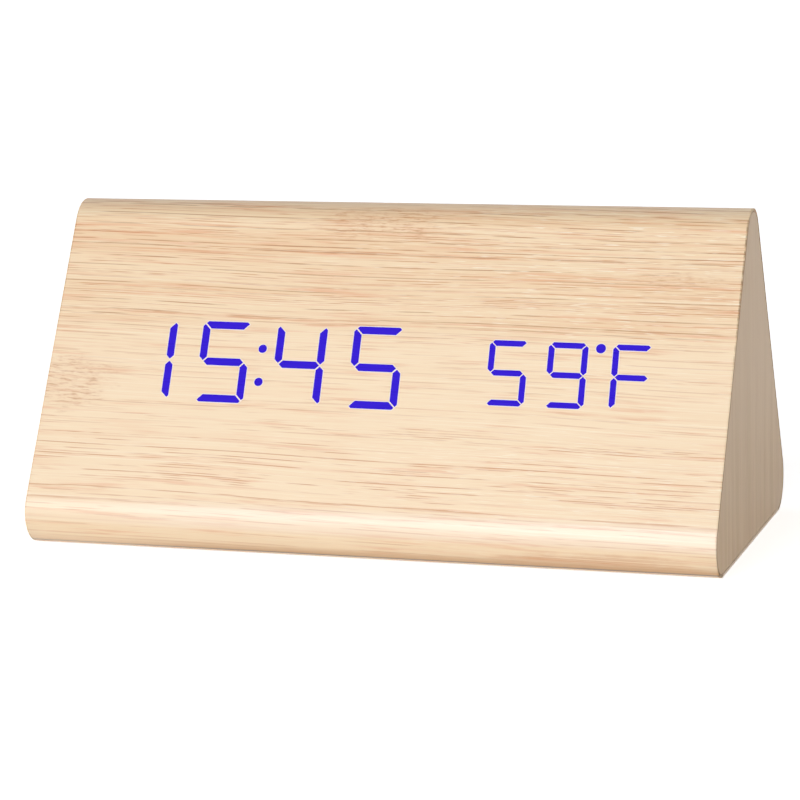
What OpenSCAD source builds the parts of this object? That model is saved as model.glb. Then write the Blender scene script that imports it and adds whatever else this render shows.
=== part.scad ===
// Wedge-shaped wooden alarm clock with lit digits.
// A fibreboard tube of rounded triangular section is wrapped in wood veneer and plugged at both
// ends. The digits shine through the front slope, the buttons and the power socket are in the
// back slope, and the batteries load from the underside.
// Frame: origin on the standing surface below the middle of the case, +X to the right seen from
// the front, +Y to the back, +Z up. Lengths are in millimetres.

/* [Case] */
// Length of the case with its end veneers
body_l = 150; // [138:1:190]
// Depth of the case over its two lower edges
body_d = 78; // [72:1:95]
// Height of the case to its ridge
body_h = 71; // [66:1:85]
// Outside radius of the three long edges
edge_r = 7; // [5:0.5:10]
// Thickness of the fibreboard walls
board_t = 6; // [5:0.5:7]
// Thickness of the fibreboard end plugs
end_t = 6; // [4:0.5:8]
// Thickness of the wood veneer
veneer_t = 0.6; // [0.4:0.1:1]
// Open seam between the wrap and each end veneer
seam = 0.15; // [0.05:0.05:0.3]

/* [Digits] */
// Figures that the time digits show
shown_time = "1545"; // 4
// Figures that the temperature digits show
shown_temperature = "59F"; // 3
// Height of a time digit
time_h = 18.3; // [15:0.1:22]
// Width of a time digit
time_w = 11.2; // [9:0.1:13]
// Width of the bars of a time digit
time_bar = 1.7; // [1.3:0.1:2.2]
// Distance between time digits
time_pitch = 17.1; // [15:0.1:19]
// Height of a temperature digit
temp_h = 14.4; // [12:0.1:17]
// Width of a temperature digit
temp_w = 8.45; // [7:0.05:10]
// Width of the bars of a temperature digit
temp_bar = 1.3; // [1:0.1:1.7]
// Distance between temperature digits
temp_pitch = 12.65; // [11:0.05:14]
// Distance from the last temperature digit to its unit
unit_pitch = 13.65; // [12:0.05:15]
// Diameter of the colon dots
colon_d = 1.9; // [1.4:0.1:2.6]
// Distance between the colon dots
colon_pitch = 7.5; // [5:0.1:10]
// Diameter of the degree dot
degree_d = 2.1; // [1.4:0.1:2.6]
// How far the colon sits above the middle of the digits
colon_lift = -0.45; // [-1:0.05:1]
// Gap between neighbouring bars of a time digit
time_gap = 0.3; // [0.2:0.05:0.5]
// Gap between neighbouring bars of a temperature digit
temp_gap = 0.2; // [0.15:0.05:0.4]
// Cut across the outer corners of a digit
corner_cut = 0.45; // [0.2:0.05:0.6]
// Lean of the digits to the right, in degrees
digit_lean = -1.8; // [-4:0.2:10]
// Distance from the row of digits to each end of the case
row_margin = 17; // [14:0.5:20]
// How far the row sits right of the middle of the slope
row_shift = 0.3; // [-1:0.1:1]
// How far the row sits above the middle of the slope
row_lift = -0.35; // [-2:0.05:2]
// How far the row is turned on the slope, in degrees
row_turn = -0.36; // [-1:0.02:1]

/* [Display stack] */
// Rim of the reflector around the row of digits
reflector_rim = 3; // [2:0.5:4]
// Play of the reflector in its window
window_play = 0.3; // [0.1:0.1:0.5]
// Thickness of the diffuser film
film_t = 0.3; // [0.2:0.1:0.6]
// Thickness of both circuit boards
pcb_t = 1.6; // [1:0.2:2]
// Overlap of the display board past the ends of its window
display_ledge_x = 3; // [2:0.5:4]
// Overlap of the display board above and below its window
display_ledge_y = 8; // [7:0.5:10]
// Length of an LED chip
led_l = 1; // [0.8:0.1:1.2]
// Width of an LED chip
led_w = 0.5; // [0.4:0.1:0.7]
// Height of an LED chip
led_h = 0.4; // [0.3:0.1:0.8]

/* [Base plate] */
// Distance from the base plate to each end of the case
plate_margin = 15; // [12:1:20]
// Thickness of the base plate
plate_t = 2.4; // [2.2:0.1:3]
// How deep the base plate lies in the underside
plate_sink = 0.4; // [0.2:0.1:0.8]
// Corner radius of the base plate
plate_r = 3; // [1:0.5:4]
// Play of the base plate in the bottom board
plate_play = 0.2; // [0.1:0.1:0.5]
// Ledge that carries the base plate along its long sides
lip_side = 4; // [3:0.5:5]
// Ledge that carries the base plate at its ends
lip_end = 8; // [7:0.5:10]
// Height of the stiffening ribs on the base plate
rib_h = 3; // [2:0.5:4]
// Thickness of the ribs
rib_t = 1.2; // [0.8:0.1:1.6]

/* [Battery bay] */
// Diameter of a cell
cell_d = 10.5; // [10:0.1:11.5]
// Length of a cell with its nub
cell_l = 44.5; // [40:0.5:50]
// Diameter of a cell's nub
nub_d = 3.8; // [3:0.1:4.5]
// Height of a cell's nub
nub_h = 1; // [0.6:0.1:1.4]
// Gap between neighbouring cells
cell_gap = 0.8; // [0.4:0.1:1.5]
// Play above, below and beside the cells
cell_play = 0.3; // [0.2:0.1:0.6]
// Wall of the battery bay
bay_wall = 1.5; // [1.2:0.1:2]
// Thickness of a contact plate
contact_t = 0.4; // [0.3:0.1:0.6]
// Width of a contact plate
contact_w = 8.4; // [7:0.1:9]
// Length of a contact spring under load
spring_l = 4.9; // [4.7:0.1:6]
// Turns of a contact spring
spring_turns = 3; // [2:1:3]
// Diameter of the spring wire
wire_d = 0.6; // [0.5:0.05:0.7]
// Diameter of a contact spring's wide end
spring_d = 7; // [6:0.5:8]
// Diameter of a contact spring's narrow end
spring_tip_d = 4.6; // [4:0.2:5.5]
// Height of the boss on a contact plate
boss_h = 0.6; // [0.4:0.1:1]
// Diameter of the boss on a contact plate
boss_d = 3; // [2:0.5:3.5]
// Width of a solder tag
tag_w = 2; // [1.5:0.1:3]
// How far a solder tag stands above the bay
tag_h = 2; // [1:0.5:3]

/* [Battery door] */
// Thickness of the battery door
door_t = 1.6; // [1.2:0.1:1.8]
// Play around the battery door
door_play = 0.3; // [0.2:0.05:0.5]
// Ledge under the edge of the battery door
rabbet = 1.2; // [0.8:0.1:1.5]
// Width of a hinge tab
tab_width = 3.6; // [2.5:0.1:4]
// Thickness of a hinge tab
tab_t = 0.9; // [0.7:0.1:1]
// How far a hinge tab reaches over the base plate
tab_reach = 2; // [1.5:0.1:2.2]
// Width of the spring latch
latch_w = 12; // [8:1:16]
// Thickness of the latch leaf
leaf_t = 0.8; // [0.6:0.1:1]
// Inside radius of the latch bend
bend_r = 0.9; // [0.7:0.1:1.2]
// Height of the latch leaf above the base plate
leaf_h = 2.4; // [2:0.2:4]
// Depth of the latch barb
barb = 0.6; // [0.4:0.1:0.8]
// Clearance in front of the pressed barb and behind the leaf
latch_clear = 0.4; // [0.3:0.1:0.6]

/* [Main board] */
// Length of the main board
main_w = 84; // [78:1:100]
// Height of the main board up the slope
main_h = 24; // [21:1:27]
// How far the main board sits above the middle of the slope
main_lift = 3; // [2:0.5:5]
// Inset of the board screws from the board's edges
corner_inset = 4; // [3.5:0.5:4.5]
// Diameter of a board spacer
spacer_d = 5; // [4:0.5:5.5]
// Distance from the ribbon headers to where the two boards would meet
ribbon_r = 18; // [15:0.5:21]
// Width of the ribbon cable
ribbon_w = 12; // [8:1:14]
// Thickness of the ribbon cable
ribbon_t = 0.9; // [0.6:0.1:1.2]
// Length of a ribbon header
header_l = 14; // [14:1:16]
// Width of a ribbon header
header_w = 5; // [4:0.5:6]
// Height of a ribbon header
header_h = 4; // [3:0.5:5]
// Diameter of a battery lead
lead_d = 1.3; // [1:0.1:1.6]

/* [Buttons] */
// Diameter of a button cap
button_d = 6; // [5:0.5:7]
// How far a button stands out of the back
button_out = 1.2; // [0.8:0.1:2]
// Rounding of a button's outer edge
button_round = 0.5; // [0.2:0.1:0.8]
// Distance between buttons
button_pitch = 14; // [12:0.5:15]
// How far the middle button sits right of the middle, seen from behind
button_x = 20; // [18:1:22]
// Play of a button cap in its hole, on each side
button_play = 0.25; // [0.15:0.05:0.4]
// Diameter of a button's flange
flange_d = 8.6; // [8:0.1:9.5]
// Thickness of a button's flange
flange_t = 1.2; // [1:0.1:1.6]
// Gap between a button's flange and the back board
flange_gap = 0.2; // [0.1:0.05:0.3]
// Travel of a button
button_travel = 0.5; // [0.3:0.05:0.7]
// Side of a switch body
switch_w = 6; // [5:0.5:6.5]
// Height of a switch body
switch_body_h = 3.5; // [3:0.1:4]
// Height of a switch to the top of its plunger
switch_h = 5; // [4.8:0.1:6]
// Diameter of a switch plunger
plunger_d = 3.4; // [3:0.1:3.6]
// Depth of a switch plunger inside its body
plunger_sink = 1; // [0.8:0.1:1.2]
// Play of a switch plunger in its body, on each side
plunger_play = 0.2; // [0.1:0.05:0.3]

/* [Power socket] */
// Distance from the power socket to the end of the main board
jack_inset = 12; // [11:1:14]
// Diameter of the socket's nose
jack_nose_d = 6.4; // [6:0.1:7.5]
// Diameter of the plug hole
jack_bore_d = 3.6; // [3.4:0.1:4]
// Depth of the plug hole
jack_bore_l = 9; // [8:0.5:10]
// Diameter of the centre pin
jack_pin_d = 1.3; // [1:0.1:1.6]
// How far the centre pin lies behind the mouth
jack_pin_back = 0.8; // [0.5:0.1:1.5]
// Side of the socket's block
jack_block_w = 8; // [7:0.5:8]
// Play of the socket's nose in the back board, on each side
jack_play = 0.2; // [0.1:0.05:0.4]

/* [Small components] */
// How far the microphone sits left of the middle, seen from behind
mic_x = 16; // [15:1:18]
// Diameter of the microphone
mic_d = 6; // [5:0.5:6.5]
// Wall of the microphone's boot
boot_wall = 0.9; // [0.7:0.1:1.2]
// Top of the microphone's boot
boot_top = 1.2; // [0.8:0.1:1.6]
// Diameter of the sound hole
sound_d = 1.6; // [1:0.1:2.5]
// Diameter of the buzzer
buzzer_d = 9; // [8:0.5:10]
// Height of the buzzer
buzzer_h = 5.5; // [4:0.5:6]
// Diameter of the smoothing capacitor
capacitor_d = 5; // [4:0.5:6]
// Height of the smoothing capacitor
capacitor_h = 6; // [5:0.5:7]
// Length of a chip
chip_l = 18; // [15:0.5:19]
// Width of a chip's body
chip_w = 7.5; // [6:0.5:8]
// Height of a chip's body
chip_h = 2.2; // [1.5:0.1:2.6]
// Length of the crystal
crystal_l = 11; // [9:0.5:12]
// Width of the crystal
crystal_w = 4.6; // [4:0.1:5]
// Height of the crystal
crystal_h = 3.5; // [3:0.1:4]
// Diameter of the thermistor's bead
bead_d = 2.4; // [2:0.1:3]
// Height of the bead above the board
bead_lift = 3; // [2:0.1:4]

/* [Screws] */
// Diameter of a board screw's shank
board_screw_d = 2.2; // [1.8:0.1:2.6]
// Diameter of a board screw's head
board_head_d = 4.4; // [4:0.1:4.8]
// Height of a board screw's head
board_head_h = 1.5; // [1.2:0.1:2]
// Bite of a board screw in the fibreboard
board_bite = 4.5; // [3:0.1:4.8]
// Diameter of a base screw's shank
base_screw_d = 2.6; // [2.2:0.1:3]
// Diameter of a base screw's head
base_head_d = 5; // [4.4:0.1:5.4]
// Length of a base screw
base_screw_l = 6; // [5:0.5:7]
// Distance from a base screw to the long edge of the base plate
base_screw_inset = 6; // [4:0.5:10]
// Play of a screw in what it passes through, on each side
screw_play = 0.15; // [0.05:0.05:0.3]

/* [Hidden] */
$fn = 64;

WOOD = [0.93, 0.83, 0.68];
END_WOOD = [0.74, 0.65, 0.55];
FIBREBOARD = [0.72, 0.58, 0.42];
LIT_BLUE = [0.23, 0.15, 0.84];
WHITE = [0.93, 0.93, 0.9];
BLACK = [0.09, 0.09, 0.1];
DARK_GREY = [0.2, 0.2, 0.21];
BOARD_GREEN = [0.1, 0.36, 0.2];
STEEL = [0.75, 0.76, 0.78];
BRASS = [0.8, 0.66, 0.34];
RED = [0.75, 0.12, 0.1];
CELL_GREY = [0.3, 0.32, 0.34];

// Overrun of a cut past the face that it opens
over = 1;

// Section of the case in Y and Z: the centres of its round edges and the directions of its slopes
wall_t = veneer_t + board_t;
// The corner circles stand a hair proud, so that each straight side cuts its circle cleanly
tangent_lap = 0.001;
half_d = body_d / 2 - edge_r;
front_c = [-half_d, edge_r];
back_c = [half_d, edge_r];
top_c = [0, body_h - edge_r];
slope = atan2(top_c[1] - edge_r, half_d);
front_up = [cos(slope), sin(slope)];
front_n = [-sin(slope), cos(slope)];
back_up = [-cos(slope), sin(slope)];
back_n = [sin(slope), cos(slope)];
down_n = [0, -1];
front_mid = (front_c + top_c) / 2 + edge_r * front_n;
back_mid = [-front_mid[0], front_mid[1]];
slope_offset = front_mid * front_n;
tube_l = body_l - 2 * veneer_t;
heart_r = half_d * tan(slope / 2);
heart = [0, edge_r + heart_r];
cavity = [for (centre = [front_c, back_c, top_c]) cavity_corner(centre)];
WEDGE_REACH = 3;

// Row of digits
time_size = [time_w, time_h, time_bar, time_gap / sqrt(2)];
temp_size = [temp_w, temp_h, temp_bar, temp_gap / sqrt(2)];
row_w = body_l - 2 * row_margin;
DIGIT_COUNT = 4;
TEMP_COUNT = 3;
ALL_TIME_BARS = "8888";
ALL_TEMPERATURE_BARS = "888";
degree_at = [(temp_x(1) + temp_x(2)) / 2, 0] + lean([0, (temp_h - degree_d) / 2]);
// Bars of a digit: its kind, then the flips across and up that place it
BARS = [
    ["a", "end", [1, 1]], ["b", "side", [1, 1]], ["c", "side", [1, -1]], ["d", "end", [1, -1]],
    ["e", "side", [-1, -1]], ["f", "side", [-1, 1]], ["g", "middle", [1, 1]]
];
// Bars that each figure lights
FIGURES = [
    ["0", "abcdef"], ["1", "bc"], ["2", "abged"], ["3", "abgcd"], ["4", "fgbc"], ["5", "afgcd"],
    ["6", "afgedc"], ["7", "abc"], ["8", "abcdefg"], ["9", "abcdfg"], ["F", "aefg"], ["C", "adef"]
];

// Display stack, in depths behind the surface of the front slope
reflector_w = row_w + 2 * reflector_rim;
reflector_h = time_h + 2 * reflector_rim;
window_w = reflector_w + 2 * window_play;
window_h = reflector_h + 2 * window_play;
display_w = window_w + 2 * display_ledge_x;
display_h = window_h + 2 * display_ledge_y;
display_back = wall_t + pcb_t;
display_screw_x = display_w / 2 - corner_inset;
display_screw_y = window_h / 2 + display_ledge_y / 2;

// Main board stack, in depths behind the surface of the back slope
spacer_h = flange_gap + flange_t + switch_h;
main_face = wall_t + spacer_h;
main_back = main_face + pcb_t;
main_screw_x = main_w / 2 - corner_inset;
jack_x = main_w / 2 - jack_inset;
main_screw_y = main_h / 2 - corner_inset;
button_hole_d = button_d + 2 * button_play;
BUTTON_PLACES = [-1, 0, 1];
plunger_floor = 0.3;
plunger_room = plunger_sink + button_travel + plunger_floor;
SWITCH_CORNER_R = 0.5;
JACK_BLOCK_R = 0.6;
board_hole_d = board_screw_d + 2 * screw_play;
SCREW_TIP_ROOM = 0.3;
RECESS_SPAN = 0.6;
recess_w = 0.5;
mic_pocket_h = spacer_h - boot_top;
boot_d = mic_d + 2 * boot_wall;

// Places of the components on the main board, right of its middle and up, seen from behind
thermistor_at = [-6, 6];
chip_at = [-20, -1];
crystal_at = [corner_inset + 3 - main_w / 2, 0];
buzzer_at = [23, 0];
capacitor_at = [13, 5];
connector_at = [0, -6];
connector_size = [7, 4.5, 5];
// Place of the driver chip on the display board
driver_at = [32, 0];
CHIP_PINS = 14;
CHIP_END_ROOM = 0.75;
chip_pitch = (chip_l - 2 * CHIP_END_ROOM) / (CHIP_PINS - 1);
CHIP_STAND = 0.2;
CHIP_DRAFT = 0.15;
CHIP_LEAD_W = 0.4;
CHIP_LEAD_T = 0.25;
CHIP_LEAD_OUT = 0.8;
CRYSTAL_FLANGE = 0.4;
CRYSTAL_R = 1.5;
BUZZER_ROUND = 0.6;
CRIMP_R = 0.35;
BEAD_LEAD_D = 0.5;
MIC_PLAY = 0.1;
HEADER_R = 0.4;

// Ribbon cable: an arc about the line where the planes of the two boards meet
board_apex = section_apex(display_back, main_back);
header_apex = section_apex(display_back + header_h, main_back + header_h);
display_header_y = (board_apex - front_mid) * front_up - ribbon_r;
main_header_y = (board_apex - back_mid) * back_up - ribbon_r;

// Battery leads: one curve each from its solder tag to the connector
lead_pitch = 2.5;
lead_bow = 6;
LEAD_RINGS = 24;
LEAD_SIDES = 8;

// Battery bay
CELL_COUNT = 3;
cell_pitch = cell_d + cell_gap;
bay_l = 2 * contact_t + spring_l + boss_h + cell_l;
bay_w = (CELL_COUNT - 1) * cell_pitch + cell_d + 2 * cell_play;
bay_h = cell_d + 2 * cell_play;
plate_top = plate_sink + plate_t;
bay_top = plate_top + bay_h + bay_wall;
cell_z = plate_top + cell_play + cell_d / 2;
divider_h = cell_d / 4;
CELL_ROUND = 0.6;
tag_play = 0.2;
SPRING_RINGS = 8;
SPRING_SIDES = 6;
spring_seat = 0.05;
spring_path = [
    for (i = [0 : spring_turns * SPRING_RINGS])
        let (
            t = i / (spring_turns * SPRING_RINGS),
            r = (spring_d - wire_d) / 2 + t * (spring_tip_d - spring_d) / 2,
            rise = spring_l - wire_d - 2 * spring_seat
        )
        [
            r * cos(360 * i / SPRING_RINGS), r * sin(360 * i / SPRING_RINGS),
            wire_d / 2 + spring_seat + t * rise
        ]
];

// Base plate
lip_play = 1.2;
plate_l = body_l - 2 * plate_margin;
plate_d = bay_w + 2 * bay_wall + 2 * lip_play + 2 * lip_side;
base_screw_x = plate_l / 2 - lip_end / 2;
base_screw_y = plate_d / 2 - base_screw_inset;
base_head_h = (base_head_d - base_screw_d) / 2;
base_hole_d = base_screw_d + 2 * screw_play;
rib_y = bay_w / 2 - cell_d / 2;

// Battery door: its tabs curl round an edge of the base plate, rounded to a little over half its thickness
hinge_x = -bay_l / 2 + tab_reach + 2 * door_play;
nose_r = 0.52 * plate_t;
hinge_at = [hinge_x - nose_r, plate_sink + plate_t / 2];
door_end = bay_l / 2 + rabbet;
door_seat = 0.1;
door_l = door_end - hinge_x - 2 * door_play;
door_w = bay_w + 2 * rabbet - 2 * door_play;
notch_x = bay_l / 2 + bay_wall;
latch_l = 2 * latch_clear + 2 * leaf_t + 2 * bend_r + barb;
latch_x = notch_x + latch_clear;
TAB_COUNT = 2;
GRIP_COUNT = 3;
grip_w = 1;
grip_depth = 0.4;

// Point of the section where planes at two depths behind the slopes meet
function section_apex(front_depth, back_depth) = [
    (front_depth - back_depth) / (2 * sin(slope)),
    (2 * slope_offset - front_depth - back_depth) / (2 * cos(slope))
];

// Corner of the cavity beside one round edge
function cavity_corner(centre) = heart + (centre - heart) * (1 + (edge_r - wall_t) / heart_r);

// Point in the frame of the case from one on the back slope: right seen from behind, up, outward
function back_point(right, up, outward) = let (p = back_mid + up * back_up + outward * back_n)
    [-right, p[0], p[1]];

// Middle of one time digit, counted from the left
function time_x(i) = -row_w / 2 + time_w / 2 + i * time_pitch;

// Middle of one temperature digit, counted from the left, the last being the unit
function temp_x(i) = row_w / 2 - temp_w / 2 - (i < 2 ? unit_pitch : 0) - (i < 1 ? temp_pitch : 0);

// A point of a digit with the lean put in
function lean(p) = [p[0] + p[1] * tan(digit_lean), p[1]];

// Corners of a bar at the top of a digit
function end_bar(w, h, t, miter) = let (x = w / 2 - miter, y = h / 2) [
    [t - x, y - t], [corner_cut - x, y - corner_cut], [2 * corner_cut - x, y],
    [x - 2 * corner_cut, y], [x - corner_cut, y - corner_cut], [x - t, y - t]
];

// Corners of a bar at the upper right of a digit
function side_bar(w, h, t, miter) = let (x = w / 2, y = h / 2 - miter) [
    [x - t, y - t], [x - corner_cut, y - corner_cut], [x, y - 2 * corner_cut],
    [x, miter + t / 2], [x - t / 2, miter], [x - t, miter + t / 2]
];

// Corners of the bar across the middle of a digit
function middle_bar(w, t, miter) = let (x = w / 2 - miter) [
    [t / 2 - x, 0], [t - x, t / 2], [x - t, t / 2], [x - t / 2, 0], [x - t, -t / 2], [t - x, -t / 2]
];

// Corners of one bar, flipped to its place
function bar_points(bar, size) = let (
    points = bar[1] == "end" ? end_bar(size[0], size[1], size[2], size[3])
        : bar[1] == "side" ? side_bar(size[0], size[1], size[2], size[3])
        : middle_bar(size[0], size[2], size[3])
) [for (p = points) lean([p[0] * bar[2][0], p[1] * bar[2][1]])];

// Bars that one figure lights
function figure_bars(figure) = let (lit = FIGURES[search(figure, FIGURES)[0]][1])
    [for (name = lit) BARS[search(name, BARS)[0]]];

// Middle of the lower or the upper colon dot
function colon_at(side) =
    [time_x((DIGIT_COUNT - 1) / 2), 0] + lean([0, colon_lift + side * colon_pitch / 2]);

// Place of one button on the main board, counted from the middle one
function button_at(i) = [button_x + i * button_pitch, 0];

// Middle of a list of points
function middle(points) = let (ones = [for (p = points) 1]) ones * points / len(points);

// Direction of a vector
function unit(v) = v / norm(v);

// Direction of a path at one of its points
function tangent(path, i) = unit(path[min(i + 1, len(path) - 1)] - path[max(i - 1, 0)]);

// Point of a cubic curve with four control points
function curve_point(c, t) = pow(1 - t, 3) * c[0] + 3 * pow(1 - t, 2) * t * c[1]
    + 3 * (1 - t) * t * t * c[2] + t * t * t * c[3];

// Y of one cell's axis
function cell_y(i) = (i - (CELL_COUNT - 1) / 2) * cell_pitch;

// Cell whose contact plate carries the solder tag at one end of the bay
function tagged_cell(side) = side < 0 ? 0 : CELL_COUNT - 1;

// Least distance between points of a path that lie at least a number of steps apart
function least_gap(path, apart) = min([
    for (i = [0 : len(path) - 1], j = [i + apart : 1 : len(path) - 1]) norm(path[i] - path[j])
]);

// Which way a cell's nub points along X
function nub_side(i) = i % 2 == 0 ? 1 : -1;

// Rounded triangle of the section, inset from the outside of the case
module outline(inset) {
    r = edge_r - inset;
    polygon([
        front_c + r * down_n, back_c + r * down_n, back_c + r * back_n,
        top_c + r * back_n, top_c + r * front_n, front_c + r * front_n
    ]);
    for (centre = [front_c, back_c, top_c]) translate(centre) circle(r + tangent_lap);
}

// Rectangle with round corners, about its middle
module rounded_rect(l, w, r) {
    square([l - 2 * r, w], center = true);
    square([l, w - 2 * r], center = true);
    for (x = [-1, 1], y = [-1, 1]) translate([x * (l / 2 - r), y * (w / 2 - r)]) circle(r);
}

// Shaft with a rounded upper edge
module round_top(d, h, r) {
    rotate_extrude() {
        square([d / 2 - r, h]);
        square([d / 2, h - r]);
        translate([d / 2 - r, h - r]) circle(r);
    }
}

// Section pushed out along the case, half to each side of the middle
module along_x(length) {
    translate([-length / 2, 0, 0]) rotate([90, 0, 90]) linear_extrude(length) children();
}

// Frame on the front slope: X right, Y up the slope, Z out of the case
module on_front() {
    translate([0, front_mid[0], front_mid[1]]) rotate([slope, 0, 0]) children();
}

// Frame on the back slope, the same way round seen from behind
module on_back() {
    rotate([0, 0, 180]) on_front() children();
}

// Frame at the middle of the row of digits
module on_row() {
    on_front() translate([row_shift, row_lift, 0]) rotate(row_turn) children();
}

// Frame on the outward face of the main board, Z out of the case
module on_main(at) {
    on_back() translate([at[0], main_lift + at[1], -main_face]) children();
}

// Frame on the inner face of the main board, Z into the case
module in_main(at) {
    on_back() translate([at[0], main_lift + at[1], -main_back]) rotate([0, 180, 0]) children();
}

// Frame on the inner face of the display board, Z into the case
module in_display(at) {
    on_front() translate([at[0], at[1], -display_back]) rotate([0, 180, 0]) children();
}

// Places of the four display screws and of the four main board screws
module at_display_screws() {
    for (x = [-1, 1], y = [-1, 1]) on_row()
        translate([x * display_screw_x, y * display_screw_y, -display_back]) children();
}
module at_main_screws() {
    for (x = [-1, 1], y = [-1, 1]) on_main([x * main_screw_x, y * main_screw_y])
        translate([0, 0, -pcb_t]) children();
}

// Places of the four base screws
module at_base_screws() {
    for (x = [-1, 1], y = [-1, 1])
        translate([x * base_screw_x, y * base_screw_y, plate_sink]) children();
}

// Lit bars of one figure
module figure_shape(size, figure) {
    for (bar = figure_bars(figure)) polygon(bar_points(bar, size));
}

// Bars of the time digits with the colon
module time_bars(figures) {
    for (i = [0 : DIGIT_COUNT - 1])
        translate([time_x(i), 0]) figure_shape(time_size, figures[i]);
    for (y = [-1, 1]) translate(colon_at(y)) circle(d = colon_d);
}

// Bars of the temperature digits with the degree dot
module temperature_bars(figures) {
    for (i = [0 : TEMP_COUNT - 1])
        translate([temp_x(i), 0]) figure_shape(temp_size, figures[i]);
    translate(degree_at) circle(d = degree_d);
}

// Spots for the LED chips of one digit, one under each bar
module led_spots(size) {
    for (bar = BARS) translate(middle(bar_points(bar, size)))
        rotate(bar[1] == "side" ? 90 : 0) square([led_l, led_w], center = true);
}

// Wall of the tube from one round edge to the next, mitred at both
module tube_wall(from, to) {
    along_x(tube_l) intersection() {
        outline(veneer_t);
        polygon([
            cavity_corner(from), cavity_corner(to),
            heart + WEDGE_REACH * (to - heart), heart + WEDGE_REACH * (from - heart)
        ]);
    }
}

// Holes through the back slope for the buttons, the socket and the sound
module back_holes() {
    for (i = BUTTON_PLACES) back_hole(button_at(i), button_hole_d);
    back_hole([-jack_x, 0], jack_nose_d + 2 * jack_play);
    back_hole([-mic_x, 0], sound_d);
}
module back_hole(at, d) {
    on_main(at) translate([0, 0, spacer_h - over]) cylinder(d = d, h = wall_t + 2 * over);
}

// Opening in the underside that takes the base plate
module plate_recess(depth) {
    translate([0, 0, -over]) linear_extrude(depth + over)
        rounded_rect(plate_l + 2 * plate_play, plate_d + 2 * plate_play, plate_r + plate_play);
}

// Board screw: head below, shank upward
module board_screw(shank_l) {
    difference() {
        union() {
            cylinder(d = board_screw_d, h = shank_l);
            translate([0, 0, -board_head_h]) {
                cylinder(d1 = board_head_d - board_head_h, d2 = board_head_d, h = board_head_h / 2);
                translate([0, 0, board_head_h / 2]) cylinder(d = board_head_d, h = board_head_h / 2);
            }
        }
        translate([0, 0, -board_head_h]) cross_recess(board_head_d, board_head_h / 2);
    }
}

// Cross recess in a screw head, opening downward
module cross_recess(head_d, depth) {
    for (turn = [0, 90]) rotate(turn) translate([0, 0, depth - (depth + over) / 2])
        cube([head_d * RECESS_SPAN, recess_w, depth + over], center = true);
}

// Chip with gull-wing leads on both long sides
module gull_chip() {
    lead_rise = chip_h / 2 + CHIP_STAND;
    translate([-chip_l / 2, 0, CHIP_STAND]) rotate([90, 0, 90]) linear_extrude(chip_l) polygon([
        [CHIP_DRAFT - chip_w / 2, 0], [-chip_w / 2, chip_h / 2], [CHIP_DRAFT - chip_w / 2, chip_h],
        [chip_w / 2 - CHIP_DRAFT, chip_h], [chip_w / 2, chip_h / 2], [chip_w / 2 - CHIP_DRAFT, 0]
    ]);
    for (turn = [0, 180], i = [0 : CHIP_PINS - 1])
        rotate(turn) translate([(i - (CHIP_PINS - 1) / 2) * chip_pitch, chip_w / 2, 0])
            rotate([90, 0, 90]) linear_extrude(CHIP_LEAD_W, center = true) polygon([
                [-CHIP_DRAFT, lead_rise], [CHIP_LEAD_OUT, lead_rise], [CHIP_LEAD_OUT, CHIP_LEAD_T],
                [2 * CHIP_LEAD_OUT, CHIP_LEAD_T], [2 * CHIP_LEAD_OUT, 0],
                [CHIP_LEAD_OUT - CHIP_LEAD_T, 0], [CHIP_LEAD_OUT - CHIP_LEAD_T, lead_rise - CHIP_LEAD_T],
                [-CHIP_DRAFT, lead_rise - CHIP_LEAD_T]
            ]);
}

// Round tube along a list of points; up is a direction that the path never takes
module tube(path, d, sides, up) {
    last = len(path) - 1;
    points = [
        for (i = [0 : last])
            let (ahead = tangent(path, i), across = unit(cross(ahead, up)), above = cross(across, ahead))
            for (k = [0 : sides - 1])
                path[i] + d / 2 * (cos(360 * k / sides) * across + sin(360 * k / sides) * above)
    ];
    skin = [
        for (i = [0 : last - 1], k = [0 : sides - 1])
            let (a = i * sides + k, b = i * sides + (k + 1) % sides)
            each [[a, b, a + sides], [b, b + sides, a + sides]]
    ];
    ends = [
        [for (k = [0 : sides - 1]) sides - 1 - k],
        [for (k = [0 : sides - 1]) last * sides + k]
    ];
    polyhedron(points, concat(skin, ends));
}

// Fibreboard tube and its end plugs
module front_board() {
    color(FIBREBOARD) difference() {
        tube_wall(front_c, top_c);
        on_row() translate([0, 0, -wall_t / 2])
            cube([window_w, window_h, wall_t + 2 * over], center = true);
        at_display_screws() cylinder(d = board_hole_d, h = pcb_t + board_bite);
    }
}
module back_board() {
    color(FIBREBOARD) difference() {
        tube_wall(top_c, back_c);
        back_holes();
        at_main_screws() cylinder(d = board_hole_d, h = pcb_t + spacer_h + board_bite);
    }
}
module bottom_board() {
    color(FIBREBOARD) difference() {
        tube_wall(back_c, front_c);
        plate_recess(plate_top);
        linear_extrude(wall_t + over)
            rounded_rect(plate_l - 2 * lip_end, plate_d - 2 * lip_side, plate_r);
        at_base_screws() cylinder(d = base_hole_d, h = wall_t + over);
    }
}
module end_board(side) {
    color(FIBREBOARD) translate([side * (tube_l - end_t) / 2, 0, 0]) along_x(end_t) polygon(cavity);
}
module left_end_board() {
    end_board(-1);
}
module right_end_board() {
    end_board(1);
}

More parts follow.
